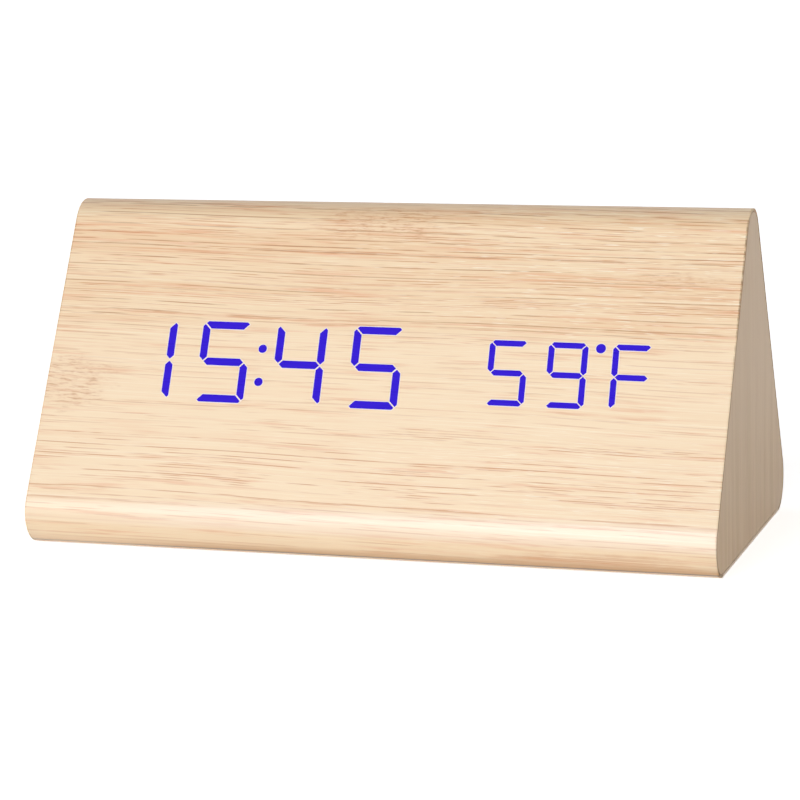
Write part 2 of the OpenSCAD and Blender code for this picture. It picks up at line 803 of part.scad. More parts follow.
// Wood veneer
module wood_wrap() {
    color(WOOD) difference() {
        along_x(body_l) difference() {
            outline(0);
            outline(veneer_t);
            translate([-half_d, -over]) square([2 * half_d, veneer_t + over]);
        }
        on_row() translate([0, 0, -veneer_t - over]) linear_extrude(veneer_t + 2 * over) {
            time_bars(shown_time);
            temperature_bars(shown_temperature);
        }
        back_holes();
    }
}
module bottom_veneer() {
    color(WOOD) difference() {
        linear_extrude(veneer_t) square([body_l, 2 * half_d], center = true);
        plate_recess(veneer_t + over);
    }
}
module end_veneer(side) {
    color(END_WOOD) translate([side * (body_l - veneer_t) / 2, 0, 0])
        along_x(veneer_t) outline(veneer_t + seam);
}
module left_end_veneer() {
    end_veneer(-1);
}
module right_end_veneer() {
    end_veneer(1);
}

// Spots of the wrap that glow where a lit bar lies behind it
module lit_time() {
    color(LIT_BLUE) on_row() translate([0, 0, -veneer_t]) linear_extrude(veneer_t) time_bars(shown_time);
}
module lit_temperature() {
    color(LIT_BLUE) on_row() translate([0, 0, -veneer_t]) linear_extrude(veneer_t)
        temperature_bars(shown_temperature);
}

// Display behind the front slope
module diffuser_film() {
    color(WHITE) on_row() translate([0, 0, -veneer_t - film_t]) linear_extrude(film_t)
        square([reflector_w, reflector_h], center = true);
}
module digit_reflector() {
    color(WHITE) on_row() translate([0, 0, -wall_t]) linear_extrude(board_t - film_t) difference() {
        square([reflector_w, reflector_h], center = true);
        time_bars(ALL_TIME_BARS);
        temperature_bars(ALL_TEMPERATURE_BARS);
    }
}
module led_chips() {
    color(LIT_BLUE) on_row() translate([0, 0, -wall_t]) linear_extrude(led_h) {
        for (i = [0 : DIGIT_COUNT - 1]) translate([time_x(i), 0]) led_spots(time_size);
        for (i = [0 : TEMP_COUNT - 1]) translate([temp_x(i), 0]) led_spots(temp_size);
        for (dot = [colon_at(-1), colon_at(1), degree_at])
            translate(dot) square([led_l, led_w], center = true);
    }
}
module display_board() {
    color(BOARD_GREEN) difference() {
        on_row() translate([0, 0, -display_back]) linear_extrude(pcb_t)
            square([display_w, display_h], center = true);
        at_display_screws() translate([0, 0, -over]) cylinder(d = board_hole_d, h = pcb_t + 2 * over);
    }
}
module driver_chip() {
    color(BLACK) in_display(driver_at) gull_chip();
}
module display_screws() {
    color(STEEL) at_display_screws() board_screw(pcb_t + board_bite - SCREW_TIP_ROOM);
}

// Main board behind the back slope
module main_board() {
    color(BOARD_GREEN) difference() {
        on_main([0, 0]) translate([0, 0, -pcb_t]) linear_extrude(pcb_t)
            square([main_w, main_h], center = true);
        at_main_screws() translate([0, 0, -over]) cylinder(d = board_hole_d, h = pcb_t + 2 * over);
    }
}
module board_spacers() {
    color(WHITE) at_main_screws() translate([0, 0, pcb_t]) linear_extrude(spacer_h) difference() {
        circle(d = spacer_d);
        circle(d = board_hole_d);
    }
}
module main_board_screws() {
    color(STEEL) at_main_screws() board_screw(pcb_t + spacer_h + board_bite - SCREW_TIP_ROOM);
}
module clock_chip() {
    color(BLACK) in_main(chip_at) gull_chip();
}
module crystal() {
    color(STEEL) in_main(crystal_at) rotate(90) {
        linear_extrude(CRYSTAL_FLANGE) rounded_rect(crystal_l, crystal_w, CRYSTAL_R);
        linear_extrude(crystal_h)
            rounded_rect(crystal_l - 2 * CRYSTAL_FLANGE, crystal_w - 2 * CRYSTAL_FLANGE, CRYSTAL_R);
    }
}
module buzzer() {
    color(BLACK) in_main(buzzer_at) difference() {
        round_top(buzzer_d, buzzer_h, BUZZER_ROUND);
        translate([0, 0, buzzer_h / 2]) cylinder(d = sound_d, h = buzzer_h);
    }
}
module smoothing_capacitor() {
    color(DARK_GREY) in_main(capacitor_at) difference() {
        round_top(capacitor_d, capacitor_h, CRIMP_R);
        rotate_extrude() translate([capacitor_d / 2, 3 * CRIMP_R]) circle(CRIMP_R);
    }
}
module thermistor() {
    color(DARK_GREY) on_main(thermistor_at) {
        for (x = [-1, 1]) translate([x * bead_d / 4, 0, 0]) cylinder(d = BEAD_LEAD_D, h = bead_lift);
        translate([0, 0, bead_lift]) sphere(d = bead_d);
    }
}
module microphone() {
    color(STEEL) on_main([-mic_x, 0]) difference() {
        cylinder(d = mic_d, h = mic_pocket_h);
        translate([0, 0, mic_pocket_h - boot_wall]) cylinder(d = sound_d, h = boot_wall + over);
    }
}
module microphone_boot() {
    color(BLACK) on_main([-mic_x, 0]) difference() {
        cylinder(d = boot_d, h = spacer_h);
        translate([0, 0, -over]) cylinder(d = mic_d + 2 * MIC_PLAY, h = mic_pocket_h + over);
        cylinder(d = sound_d, h = spacer_h + over);
    }
}

// Power socket: its nose lies flush in the back slope
module power_jack() {
    color(BLACK) on_main([-jack_x, 0]) difference() {
        union() {
            linear_extrude(spacer_h) rounded_rect(jack_block_w, jack_block_w, JACK_BLOCK_R);
            cylinder(d = jack_nose_d, h = spacer_h + wall_t);
        }
        translate([0, 0, spacer_h + wall_t - jack_bore_l])
            cylinder(d = jack_bore_d, h = jack_bore_l + over);
    }
}
module jack_pin() {
    color(BRASS) on_main([-jack_x, 0]) translate([0, 0, spacer_h + wall_t - jack_bore_l])
        round_top(jack_pin_d, jack_bore_l - jack_pin_back, jack_pin_d / 4);
}

// Buttons and the switches that they press
module switch_bodies() {
    color(DARK_GREY) for (i = BUTTON_PLACES) on_main(button_at(i)) difference() {
        linear_extrude(switch_body_h) rounded_rect(switch_w, switch_w, SWITCH_CORNER_R);
        translate([0, 0, switch_body_h - plunger_room])
            cylinder(d = plunger_d + 2 * plunger_play, h = plunger_room + over);
    }
}
module plunger(i) {
    color(BLACK) on_main(button_at(i)) translate([0, 0, switch_body_h - plunger_sink])
        cylinder(d = plunger_d, h = switch_h - switch_body_h + plunger_sink);
}
module set_plunger() {
    plunger(-1);
}
module up_plunger() {
    plunger(0);
}
module down_plunger() {
    plunger(1);
}
module button(i) {
    color(BLACK) on_main(button_at(i)) translate([0, 0, switch_h]) {
        cylinder(d = flange_d, h = flange_t);
        round_top(button_d, flange_t + flange_gap + wall_t + button_out, button_round);
    }
}
module set_button() {
    button(-1);
}
module up_button() {
    button(0);
}
module down_button() {
    button(1);
}

// Wiring
module ribbon_cable() {
    color(DARK_GREY) along_x(ribbon_w) intersection() {
        translate(board_apex) difference() {
            circle(ribbon_r + ribbon_t / 2);
            circle(ribbon_r - ribbon_t / 2);
        }
        polygon([header_apex, header_apex - 2 * ribbon_r * front_up, header_apex - 2 * ribbon_r * back_up]);
    }
}
module ribbon_headers() {
    color(WHITE) {
        in_display([0, display_header_y]) linear_extrude(header_h)
            rounded_rect(header_l, header_w, HEADER_R);
        in_main([0, main_header_y - main_lift]) linear_extrude(header_h)
            rounded_rect(header_l, header_w, HEADER_R);
    }
}
module lead_connector() {
    color(WHITE) in_main(connector_at) linear_extrude(connector_size[2])
        rounded_rect(connector_size[0], connector_size[1], HEADER_R);
}
module battery_lead(side) {
    tag_top = [side * (bay_l - contact_t) / 2, cell_y(tagged_cell(side)), bay_top + tag_h];
    socket = back_point(
        connector_at[0] - side * lead_pitch / 2, main_lift + connector_at[1], -main_back - connector_size[2]
    );
    upward = [0, 0, 1];
    inward = [0, -back_n[0], -back_n[1]];
    start = tag_top + lead_d * upward;
    end = socket + lead_d * inward;
    controls = [start, start + lead_bow * upward, end + lead_bow * inward, end];
    bend = [for (i = [0 : LEAD_RINGS]) curve_point(controls, i / LEAD_RINGS)];
    tube(concat([tag_top], bend, [socket]), lead_d, LEAD_SIDES, [0, back_up[0], back_up[1]]);
}
module positive_lead() {
    color(RED) battery_lead(1);
}
module negative_lead() {
    color(BLACK) battery_lead(-1);
}

// Base plate with the battery bay
module base_plate() {
    color(BLACK) difference() {
        union() {
            translate([0, 0, plate_sink]) linear_extrude(plate_t) rounded_rect(plate_l, plate_d, plate_r);
            translate([0, 0, plate_top]) linear_extrude(bay_h + bay_wall)
                rounded_rect(bay_l + 2 * bay_wall, bay_w + 2 * bay_wall, bay_wall / 2);
            plate_ribs();
        }
        difference() {
            translate([-bay_l / 2, -bay_w / 2, plate_top]) cube([bay_l, bay_w, bay_h]);
            cell_dividers();
        }
        door_opening();
        tag_slots();
        at_base_screws() base_screw_hole();
    }
}
module plate_ribs() {
    rib_l = plate_l / 2 - lip_end - lip_play - bay_l / 2;
    for (x = [-1, 1], y = [-1, 1])
        translate([x * (bay_l / 2 + rib_l / 2), y * rib_y, plate_top + rib_h / 2 - over / 2])
            cube([rib_l, rib_t, rib_h + over], center = true);
}
module cell_dividers() {
    for (i = [0 : CELL_COUNT - 2])
        translate([-cell_l / 4, cell_y(i) + (cell_pitch - rib_t) / 2, plate_top + bay_h - divider_h])
            cube([cell_l / 2, rib_t, divider_h + over]);
}
module door_opening() {
    tongue_w = latch_w + 2 * door_play;
    recess_d = bay_w + 2 * rabbet;
    difference() {
        union() {
            translate([hinge_at[0], -bay_w / 2, plate_sink - over])
                cube([bay_l / 2 - hinge_at[0], bay_w, plate_t + 2 * over]);
            translate([hinge_at[0], -recess_d / 2, plate_sink - over])
                cube([door_end - hinge_at[0], recess_d, door_t + door_seat + over]);
        }
        translate([hinge_at[0], 0, hinge_at[1]]) rotate([90, 0, 0])
            cylinder(r = nose_r, h = recess_d + 2 * over, center = true);
    }
    translate([bay_l / 2, -tongue_w / 2, plate_sink - over])
        cube([bay_wall + latch_l, tongue_w, door_t + door_seat + over]);
    translate([notch_x, -tongue_w / 2, plate_sink - over]) cube([latch_l, tongue_w, plate_t + 2 * over]);
}
module tag_slots() {
    slot_w = tag_w + 2 * tag_play;
    for (side = [-1, 1])
        translate([side * (bay_l / 2 - contact_t / 2), cell_y(tagged_cell(side)), bay_top])
            cube([contact_t + 2 * tag_play, slot_w, 2 * (bay_wall + tag_play)], center = true);
}
module base_screw_hole() {
    translate([0, 0, -over]) cylinder(d = base_hole_d, h = plate_t + 2 * over);
    cylinder(d1 = base_head_d + 2 * screw_play, d2 = base_hole_d, h = base_head_h);
}
module base_screws() {
    color(STEEL) at_base_screws() difference() {
        union() {
            cylinder(d1 = base_head_d, d2 = base_screw_d, h = base_head_h);
            cylinder(d = base_screw_d, h = base_screw_l);
        }
        cross_recess(base_head_d, base_head_h);
    }
}

// Battery door: two tabs curl round an edge of the base plate, a spring latch holds the other end
module battery_door() {
    color(BLACK) difference() {
        union() {
            translate([hinge_x + door_play, -door_w / 2, plate_sink]) cube([door_l, door_w, door_t]);
            translate([door_end - door_play - over, -latch_w / 2, plate_sink])
                cube([latch_x + leaf_t - door_end + door_play + over, latch_w, door_t]);
            rotate([90, 0, 0]) linear_extrude(latch_w, center = true) latch_profile();
            for (i = [0 : TAB_COUNT - 1]) translate([0, cell_y(i) + cell_pitch / 2, 0])
                rotate([90, 0, 0]) linear_extrude(tab_width, center = true) tab_profile();
        }
        door_grip();
    }
}
module latch_profile() {
    leaf_top = plate_top + leaf_h;
    outer_x = latch_x + leaf_t + 2 * bend_r;
    barb_z = plate_top + door_seat;
    for (x = [latch_x, outer_x]) translate([x, plate_sink]) square([leaf_t, leaf_top - plate_sink]);
    translate([latch_x + leaf_t + bend_r, leaf_top]) intersection() {
        difference() {
            circle(bend_r + leaf_t);
            circle(bend_r);
        }
        translate([-bend_r - leaf_t, 0]) square([2 * (bend_r + leaf_t), bend_r + leaf_t]);
    }
    translate([outer_x + leaf_t, barb_z]) polygon([[0, 0], [barb, 0], [0, 2 * barb]]);
}
module tab_profile() {
    inner_r = nose_r + door_seat;
    outer_r = inner_r + tab_t;
    translate(hinge_at) {
        intersection() {
            difference() {
                circle(outer_r);
                circle(inner_r);
            }
            square(outer_r);
        }
        translate([nose_r - tab_reach, inner_r]) square([tab_reach - nose_r, tab_t]);
    }
}
module door_grip() {
    for (i = [0 : GRIP_COUNT - 1])
        translate([door_end - 2 * (i + 2) * grip_w, -latch_w / 2, plate_sink - over])
            cube([grip_w, latch_w, grip_depth + over]);
}

// Cells and their contacts
module battery_cells() {
    color(CELL_GREY) for (i = [0 : CELL_COUNT - 1])
        translate([-nub_side(i) * (bay_l / 2 - contact_t - spring_l), cell_y(i), cell_z])
            rotate([0, 90 * nub_side(i), 0]) cell();
}
module cell() {
    can_l = cell_l - nub_h;
    rotate_extrude() {
        translate([0, CELL_ROUND]) square([cell_d / 2, can_l - 2 * CELL_ROUND]);
        square([cell_d / 2 - CELL_ROUND, can_l]);
        for (y = [CELL_ROUND, can_l - CELL_ROUND])
            translate([cell_d / 2 - CELL_ROUND, y]) circle(CELL_ROUND);
        square([nub_d / 2, cell_l]);
    }
}
module contact_plates() {
    color(STEEL) {
        for (side = [-1, 1]) {
            single = tagged_cell(side);
            contact_plate(side, single, single);
            contact_plate(side, single == 0 ? 1 : 0, single == 0 ? CELL_COUNT - 1 : CELL_COUNT - 2);
            translate([side * (bay_l - contact_t) / 2, cell_y(single), (cell_z + bay_top + tag_h) / 2])
                cube([contact_t, tag_w, bay_top + tag_h - cell_z], center = true);
        }
        for (i = [0 : CELL_COUNT - 1]) translate([nub_side(i) * (bay_l / 2 - contact_t), cell_y(i), cell_z])
            rotate([0, -90 * nub_side(i), 0]) cylinder(d = boss_d, h = boss_h);
    }
}
module contact_plate(side, first, last) {
    span = cell_y(last) - cell_y(first) + contact_w;
    translate([side * (bay_l - contact_t) / 2, (cell_y(first) + cell_y(last)) / 2, cell_z])
        cube([contact_t, span, contact_w], center = true);
}
module contact_springs() {
    color(STEEL) for (i = [0 : CELL_COUNT - 1])
        translate([-nub_side(i) * (bay_l / 2 - contact_t), cell_y(i), cell_z])
            rotate([0, 90 * nub_side(i), 0]) tube(spring_path, wire_d, SPRING_SIDES, [0, 0, 1]);
    echo(least_spring_gap = least_gap(spring_path, SPRING_RINGS - 2) - wire_d);
}

front_board();
back_board();
bottom_board();
left_end_board();
right_end_board();
wood_wrap();
bottom_veneer();
left_end_veneer();
right_end_veneer();
lit_time();
lit_temperature();
diffuser_film();
digit_reflector();
led_chips();
display_board();
driver_chip();
display_screws();
main_board();
board_spacers();
main_board_screws();
clock_chip();
crystal();
buzzer();
smoothing_capacitor();
thermistor();
microphone();
microphone_boot();
power_jack();
jack_pin();
switch_bodies();
set_plunger();
up_plunger();
down_plunger();
set_button();
up_button();
down_button();
ribbon_cable();
ribbon_headers();
lead_connector();
positive_lead();
negative_lead();
base_plate();
base_screws();
battery_door();
battery_cells();
contact_plates();
contact_springs();
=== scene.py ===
"""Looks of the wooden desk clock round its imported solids: veneer, lit figures, keys, base and studio."""

import logging
import math
from collections.abc import Iterable, Sequence
from dataclasses import dataclass, field
from enum import Enum
from typing import ClassVar

import bpy
from mathutils import Matrix, Vector


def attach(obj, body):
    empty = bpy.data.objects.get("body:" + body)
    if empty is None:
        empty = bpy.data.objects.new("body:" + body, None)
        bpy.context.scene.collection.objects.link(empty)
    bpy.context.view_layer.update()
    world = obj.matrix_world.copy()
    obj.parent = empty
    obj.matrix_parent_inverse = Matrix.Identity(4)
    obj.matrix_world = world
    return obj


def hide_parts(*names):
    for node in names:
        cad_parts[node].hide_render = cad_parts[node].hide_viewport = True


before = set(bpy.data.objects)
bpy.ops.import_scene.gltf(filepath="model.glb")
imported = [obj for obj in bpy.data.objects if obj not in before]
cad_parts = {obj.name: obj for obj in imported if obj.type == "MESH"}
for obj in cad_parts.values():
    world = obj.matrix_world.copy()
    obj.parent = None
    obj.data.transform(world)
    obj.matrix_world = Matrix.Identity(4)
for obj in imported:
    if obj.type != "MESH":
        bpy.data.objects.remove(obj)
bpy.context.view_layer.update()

MM = 0.001
MIDDLE = 0.5
X_AXIS = Vector((1.0, 0.0, 0.0))
Z_AXIS = Vector((0.0, 0.0, 1.0))
log = logging.getLogger("clock")

Colour = tuple[float, float, float]
Size = tuple[float, float, float]
Step = tuple[float, float]
Point = tuple[float, float]
Shape = tuple[list, list]


class Signal:
    """A number that varies over a surface, with plain arithmetic on it."""

    def __init__(self, graph: "Graph", socket: bpy.types.NodeSocket) -> None:
        """Keep the socket and the graph that it belongs to."""
        self.graph = graph
        self.socket = socket

    def __add__(self, other: "Value") -> "Signal":
        """Sum."""
        return self.graph.math("ADD", self, other)

    __radd__ = __add__

    def __sub__(self, other: "Value") -> "Signal":
        """Difference."""
        return self.graph.math("SUBTRACT", self, other)

    def __rsub__(self, other: "Value") -> "Signal":
        """Difference from a plain number."""
        return self.graph.math("SUBTRACT", other, self)

    def __mul__(self, other: "Value") -> "Signal":
        """Product."""
        return self.graph.math("MULTIPLY", self, other)

    __rmul__ = __mul__

    def __truediv__(self, other: "Value") -> "Signal":
        """Quotient."""
        return self.graph.math("DIVIDE", self, other)

    def __rtruediv__(self, other: "Value") -> "Signal":
        """Quotient of a plain number."""
        return self.graph.math("DIVIDE", other, self)

    def __abs__(self) -> "Signal":
        """Size without its sign."""
        return self.graph.math("ABSOLUTE", self)

    def at_least(self, other: "Value") -> "Signal":
        """The larger of two numbers."""
        return self.graph.math("MAXIMUM", self, other)

    def at_most(self, other: "Value") -> "Signal":
        """The smaller of two numbers."""
        return self.graph.math("MINIMUM", self, other)

    def whole(self) -> "Signal":
        """The whole number below."""
        return self.graph.math("FLOOR", self)

    def part(self) -> "Signal":
        """What is over the whole number below."""
        return self.graph.math("FRACT", self)

    def sign(self) -> "Signal":
        """Minus one, nought or one."""
        return self.graph.math("SIGN", self)

    def turn(self, other: "Value") -> "Signal":
        """Angle of the direction with this rise and the other run."""
        return self.graph.math("ARCTAN2", self, other)

    def lifted(self, floor: float) -> "Signal":
        """A share that starts at a floor, where this one starts at 0."""
        return floor + self * (1 - floor)

    def swing(self, reach: float) -> "Signal":
        """A soft random number's distance from its middle, times a reach."""
        return (self - MIDDLE) * reach

    def ramp(self, low: "Value", high: "Value") -> "Signal":
        """Smooth step from 0 to 1.

        Args:
            low: The value that gives 0.
            high: The value that gives 1; below low, the step falls.

        Returns:
            The stepped number.
        """
        node = self.graph.node(
            "ShaderNodeMapRange",
            {"interpolation_type": "SMOOTHSTEP", "clamp": True},
            {"Value": self, "From Min": low, "From Max": high},
        )
        return Signal(self.graph, node.outputs[0])


class Tint:
    """A colour that varies over a surface."""

    FACTOR, FIRST, SECOND, RESULT = 0, 6, 7, 2

    def __init__(self, graph: "Graph", socket: bpy.types.NodeSocket) -> None:
        """Keep the socket and the graph that it belongs to."""
        self.graph = graph
        self.socket = socket

    def blend(self, other: "Tint | Colour", share: "Value") -> "Tint":
        """The colour with a share of another mixed in, from 0 to 1."""
        return self.graph.tint(self, other, share)

    def scaled(self, share: "Value") -> "Tint":
        """The colour made lighter or darker by a varying share."""
        node = self.graph.node("ShaderNodeVectorMath", {"operation": "SCALE"}, {0: self, "Scale": share})
        return Tint(self.graph, node.outputs[0])


Value = Signal | float


class Graph:
    """The node tree of a material or of the room, and the shader that it fills."""

    EDGE_SAMPLES = 6

    def __init__(
        self, holder: bpy.types.Material | bpy.types.World, shader: str = "Principled BSDF"
    ) -> None:
        """Turn the nodes on and keep the shader that they start with.

        Args:
            holder: The material or the room.
            shader: The name of the shader.
        """
        holder.use_nodes = True
        self.tree = holder.node_tree
        self.shader = self.tree.nodes[shader]

    def node(self, kind: str, settings: dict | None = None, inputs: dict | None = None) -> bpy.types.Node:
        """Add a node.

        Args:
            kind: The node's type.
            settings: Its own settings, by name.
            inputs: What its sockets take, by name or place: numbers, colours, signals or sockets.

        Returns:
            The node.
        """
        made = self.tree.nodes.new(kind)
        for name, value in (settings or {}).items():
            setattr(made, name, value)
        for name, value in (inputs or {}).items():
            self.feed(made.inputs[name], value)
        return made

    def feed(self, socket: bpy.types.NodeSocket, value: object) -> None:
        """Give a socket what it takes.

        Args:
            socket: The socket.
            value: A number, a colour, a signal or another socket.
        """
        source = getattr(value, "socket", value)
        if isinstance(source, bpy.types.NodeSocket):
            self.tree.links.new(source, socket)
        elif socket.type == "RGBA":
            socket.default_value = (*source, 1.0)
        else:
            socket.default_value = source

    def math(self, operation: str, *values: Value) -> Signal:
        """One Math node on the given numbers."""
        made = self.node("ShaderNodeMath", {"operation": operation}, dict(enumerate(values)))
        return Signal(self, made.outputs[0])

    def place(self) -> tuple[Signal, Signal, Signal]:
        """Find where a point of the surface lies.

        Returns:
            Its X, Y and Z in the frame of its piece, in millimetres.
        """
        spot = self.node("ShaderNodeTexCoord").outputs["Object"]
        split = self.node("ShaderNodeSeparateXYZ", inputs={0: spot})
        return tuple(Signal(self, output) / MM for output in split.outputs)

    def join(self, x: Value, y: Value, z: Value) -> bpy.types.NodeSocket:
        """A vector from its three numbers."""
        return self.node("ShaderNodeCombineXYZ", inputs={0: x, 1: y, 2: z}).outputs[0]

    def noise(self, x: Value, y: Value, z: Value, detail: float = 2.0, rough: float = 0.5) -> Signal:
        """Soft random number around 0.5, one lump for each unit of the coordinates.

        Args:
            x: First coordinate, in lumps.
            y: Second coordinate, in lumps.
            z: Third coordinate, in lumps, or a seed.
            detail: How many finer layers are added.
            rough: How strong each finer layer is.

        Returns:
            The number.
        """
        made = self.node(
            "ShaderNodeTexNoise",
            {"noise_dimensions": "3D"},
            {"Vector": self.join(x, y, z), "Scale": 1.0, "Detail": detail, "Roughness": rough},
        )
        return Signal(self, made.outputs[0])

    def chance(self, x: Value, y: Value, z: Value) -> Signal:
        """Random number from 0 to 1 for each place, with no softness.

        Args:
            x: First coordinate.
            y: Second coordinate.
            z: Third coordinate, or a seed.

        Returns:
            The number.
        """
        spot = self.join(x, y, z)
        made = self.node("ShaderNodeTexWhiteNoise", {"noise_dimensions": "3D"}, {"Vector": spot})
        return Signal(self, made.outputs["Value"])

    def tint(self, first: Tint | Colour, second: Tint | Colour, share: Value) -> Tint:
        """Mix two colours.

        Args:
            first: The colour that is there.
            second: The colour that is mixed in.
            share: How much of the second there is, from 0 to 1.

        Returns:
            The mixed colour.
        """
        made = self.node(
            "ShaderNodeMix",
            {"data_type": "RGBA"},
            {Tint.FACTOR: share, Tint.FIRST: first, Tint.SECOND: second},
        )
        return Tint(self, made.outputs[Tint.RESULT])

    def soft_edge(self, reach: float) -> bpy.types.NodeSocket:
        """Normal that rounds sharp edges by a reach in millimetres."""
        settings = {"samples": self.EDGE_SAMPLES}
        return self.node("ShaderNodeBevel", settings, {"Radius": reach * MM}).outputs[0]

    def relief(
        self, height: Signal, depth: float, under: bpy.types.NodeSocket | None = None
    ) -> bpy.types.NodeSocket:
        """Normal of a fine relief.

        Args:
            height: Its height, from 0 to 1.
            depth: Its depth in millimetres.
            under: The normal that it lies on, if that isn't the surface's own.

        Returns:
            The normal's socket.
        """
        inputs = {"Height": height, "Distance": depth * MM, "Strength": 1.0}
        if under is not None:
            inputs["Normal"] = under
        return self.node("ShaderNodeBump", inputs=inputs).outputs[0]

    def surface(self, **values: object) -> None:
        """Set the shader's sockets: words of a socket's name are joined by a low line."""
        for name, value in values.items():
            self.feed(self.shader.inputs[name.replace("_", " ")], value)


@dataclass(frozen=True)
class Finish:
    """One finish, whose material is made once."""

    name: str
    made: ClassVar[dict[str, bpy.types.Material]] = {}

    def paint(self, graph: Graph) -> None:
        """Fill the material's graph."""
        raise NotImplementedError

    def material(self) -> bpy.types.Material:
        """Make the material of this finish, or find it.

        Returns:
            The material.
        """
        if self.name not in self.made:
            self.made[self.name] = bpy.data.materials.new(self.name)
            self.paint(Graph(self.made[self.name]))
        return self.made[self.name]


@dataclass(frozen=True)
class Section:
    """Rounded triangle of the case in Y and Z, in millimetres."""

    length: float = 150.0
    depth: float = 78.0
    height: float = 71.0
    edge: float = 7.0

    @property
    def half(self) -> float:
        """Half the distance between the centres of the two lower edges."""
        return self.depth / 2 - self.edge

    @property
    def rise(self) -> float:
        """Height between the centres of the lower edges and of the top edge."""
        return self.height - 2 * self.edge

    @property
    def slope(self) -> float:
        """Angle of the slopes above the table."""
        return math.atan2(self.rise, self.half)

    @property
    def run(self) -> float:
        """Length of the flat part of a slope."""
        return math.hypot(self.rise, self.half)

    @property
    def apex(self) -> float:
        """Length of the wrap from the foot of the front slope to the top line."""
        return self.run + self.edge * self.slope

    @property
    def grade(self) -> tuple[float, float]:
        """Cosine and sine of the slope."""
        return math.cos(self.slope), math.sin(self.slope)

    def front(self, right: float, up: float, out: float) -> Vector:
        """Find a point on the front slope.

        Args:
            right: Distance to the right of the middle of the slope.
            up: Distance up the slope.
            out: Distance out of it.

        Returns:
            The point in metres.
        """
        c, s = self.grade
        y = -self.half / 2 - self.edge * s + up * c - out * s
        z = self.edge + self.rise / 2 + self.edge * c + up * s + out * c
        return Vector((right, y, z)) * MM

    def back(self, right: float, up: float, out: float) -> Vector:
        """The same for the back slope, seen from behind."""
        return Matrix.Rotation(math.pi, 3, "Z") @ self.front(right, up, out)


CASE = Section()


@dataclass(frozen=True)
class Grain:
    """Soft lumps all over a surface.

    It holds their sizes in millimetres, their finer layers and how strong these are, the step that cuts
    marks out of them, and how much the marks count.
    """

    sizes: Size
    detail: float = 2.0
    rough: float = 0.5
    step: Step | None = None
    share: float = 1.0

    def over(self, graph: Graph, spot: Sequence[Value]) -> Signal:
        """The lumps at a place, around 0.5."""
        return graph.noise(*(at / size for at, size in zip(spot, self.sizes)), self.detail, self.rough)

    def marks(self, lumps: Signal) -> Signal:
        """The marks that the lumps give, from 0 to their share."""
        return (lumps.ramp(*self.step) if self.step else lumps) * self.share


class Lay(Enum):
    """Which way the grain of a veneer runs."""

    WRAP = "along the wrap"
    UNDERSIDE = "along the underside"
    END = "up the end"


@dataclass(frozen=True)
class Layer:
    """A layer of a veneer's grain: its lumps' length and width in millimetres, its seed and detail."""

    length: float
    width: float
    seed: float
    detail: float = 2.0
    rough: float = 0.5

    def drawn(self, graph: Graph, along: Signal, across: Signal, start: float) -> Signal:
        """The layer at a place, around 0.5, with its seed counted from the veneer's own."""
        return graph.noise(
            along / self.length, across / self.width, start + self.seed, self.detail, self.rough
        )


@dataclass(frozen=True)
class Hairs:
    """Thin lines along the grain: width of a lane, reach of a line to each side, its length, and a seed.

    The margin is what a line keeps from the sides of its lane, as a share of the lane, and the core is the
    share of its reach that is full. The stride sets the lanes' noise apart, and the draws are the seeds of
    a line's place and presence.
    """

    pitch: float
    reach: float
    length: float
    seed: float
    margin: float = 0.2
    core: float = 0.25
    present: Step = (0.25, 0.55)
    life: Step = (0.40, 0.58)
    life_rough: float = 0.55
    life_detail: float = 2.0
    stride: float = 5.3
    draws: tuple[float, float] = (0.5, 7.5)

    def drawn(self, graph: Graph, along: Signal, lane: Signal, start: float) -> Signal:
        """Draw the lines, one in each lane, which come and go.

        Args:
            graph: The graph that they are added to.
            along: Distance along the grain.
            lane: Distance across it.
            start: The veneer's own seed.

        Returns:
            Their strength, from 0 to 1.
        """
        seed = start + self.seed
        place = lane / self.pitch
        number = place.whole()
        place_draw, present_draw = self.draws
        middle = graph.chance(number, seed, place_draw) * (1 - 2 * self.margin) + self.margin
        present = graph.chance(number, seed, present_draw).ramp(*self.present)
        lives = graph.noise(
            along / self.length, number * self.stride, seed, self.life_detail, self.life_rough
        )
        off = abs(place.part() - middle) * self.pitch
        return off.ramp(self.reach, self.reach * self.core) * lives.ramp(*self.life) * present


@dataclass(frozen=True)
class Spread:
    """How thick a layer lies: in the calm belt, and what it gains above and below that."""

    calm: float
    above: float = 0.0
    below: float = 0.0

    def at(self, above: Value, below: Value) -> Value:
        """Find how thick the layer lies at a place.

        Args:
            above: The place's share of the busy belt above, from 0 to 1.
            below: Its share of the one below.

        Returns:
            The thickness.
        """
        total = self.calm
        for share, belt in ((self.above, above), (self.below, below)):
            if share:
                total = total + belt * share
        return total


@dataclass(frozen=True)
class Burl:
    """A stained spot of the veneer: its middle and its reach along and across the grain, in millimetres.

    The ticks say how much of the stain is broken into short dark ticks, from 0 to 1.
    """

    along: float
    across: float
    reach_along: float
    reach_across: float
    strength: float
    ticks: float = 1.0
    ragged: float = 1.6
    fade: Step = (1.0, 0.1)

    def cover(self, along: Signal, across: Signal, ragged: Signal) -> Signal:
        """Find how much of the spot lies at a place.

        Args:
            along: Distance along the grain.
            across: Distance across it.
            ragged: Soft random number that frays the spot.

        Returns:
            The cover, from 0 to the spot's strength.
        """
        a = (along - self.along) / self.reach_along
        b = (across - self.across) / self.reach_across
        return (a * a + b * b + ragged.swing(self.ragged)).ramp(*self.fade) * self.strength


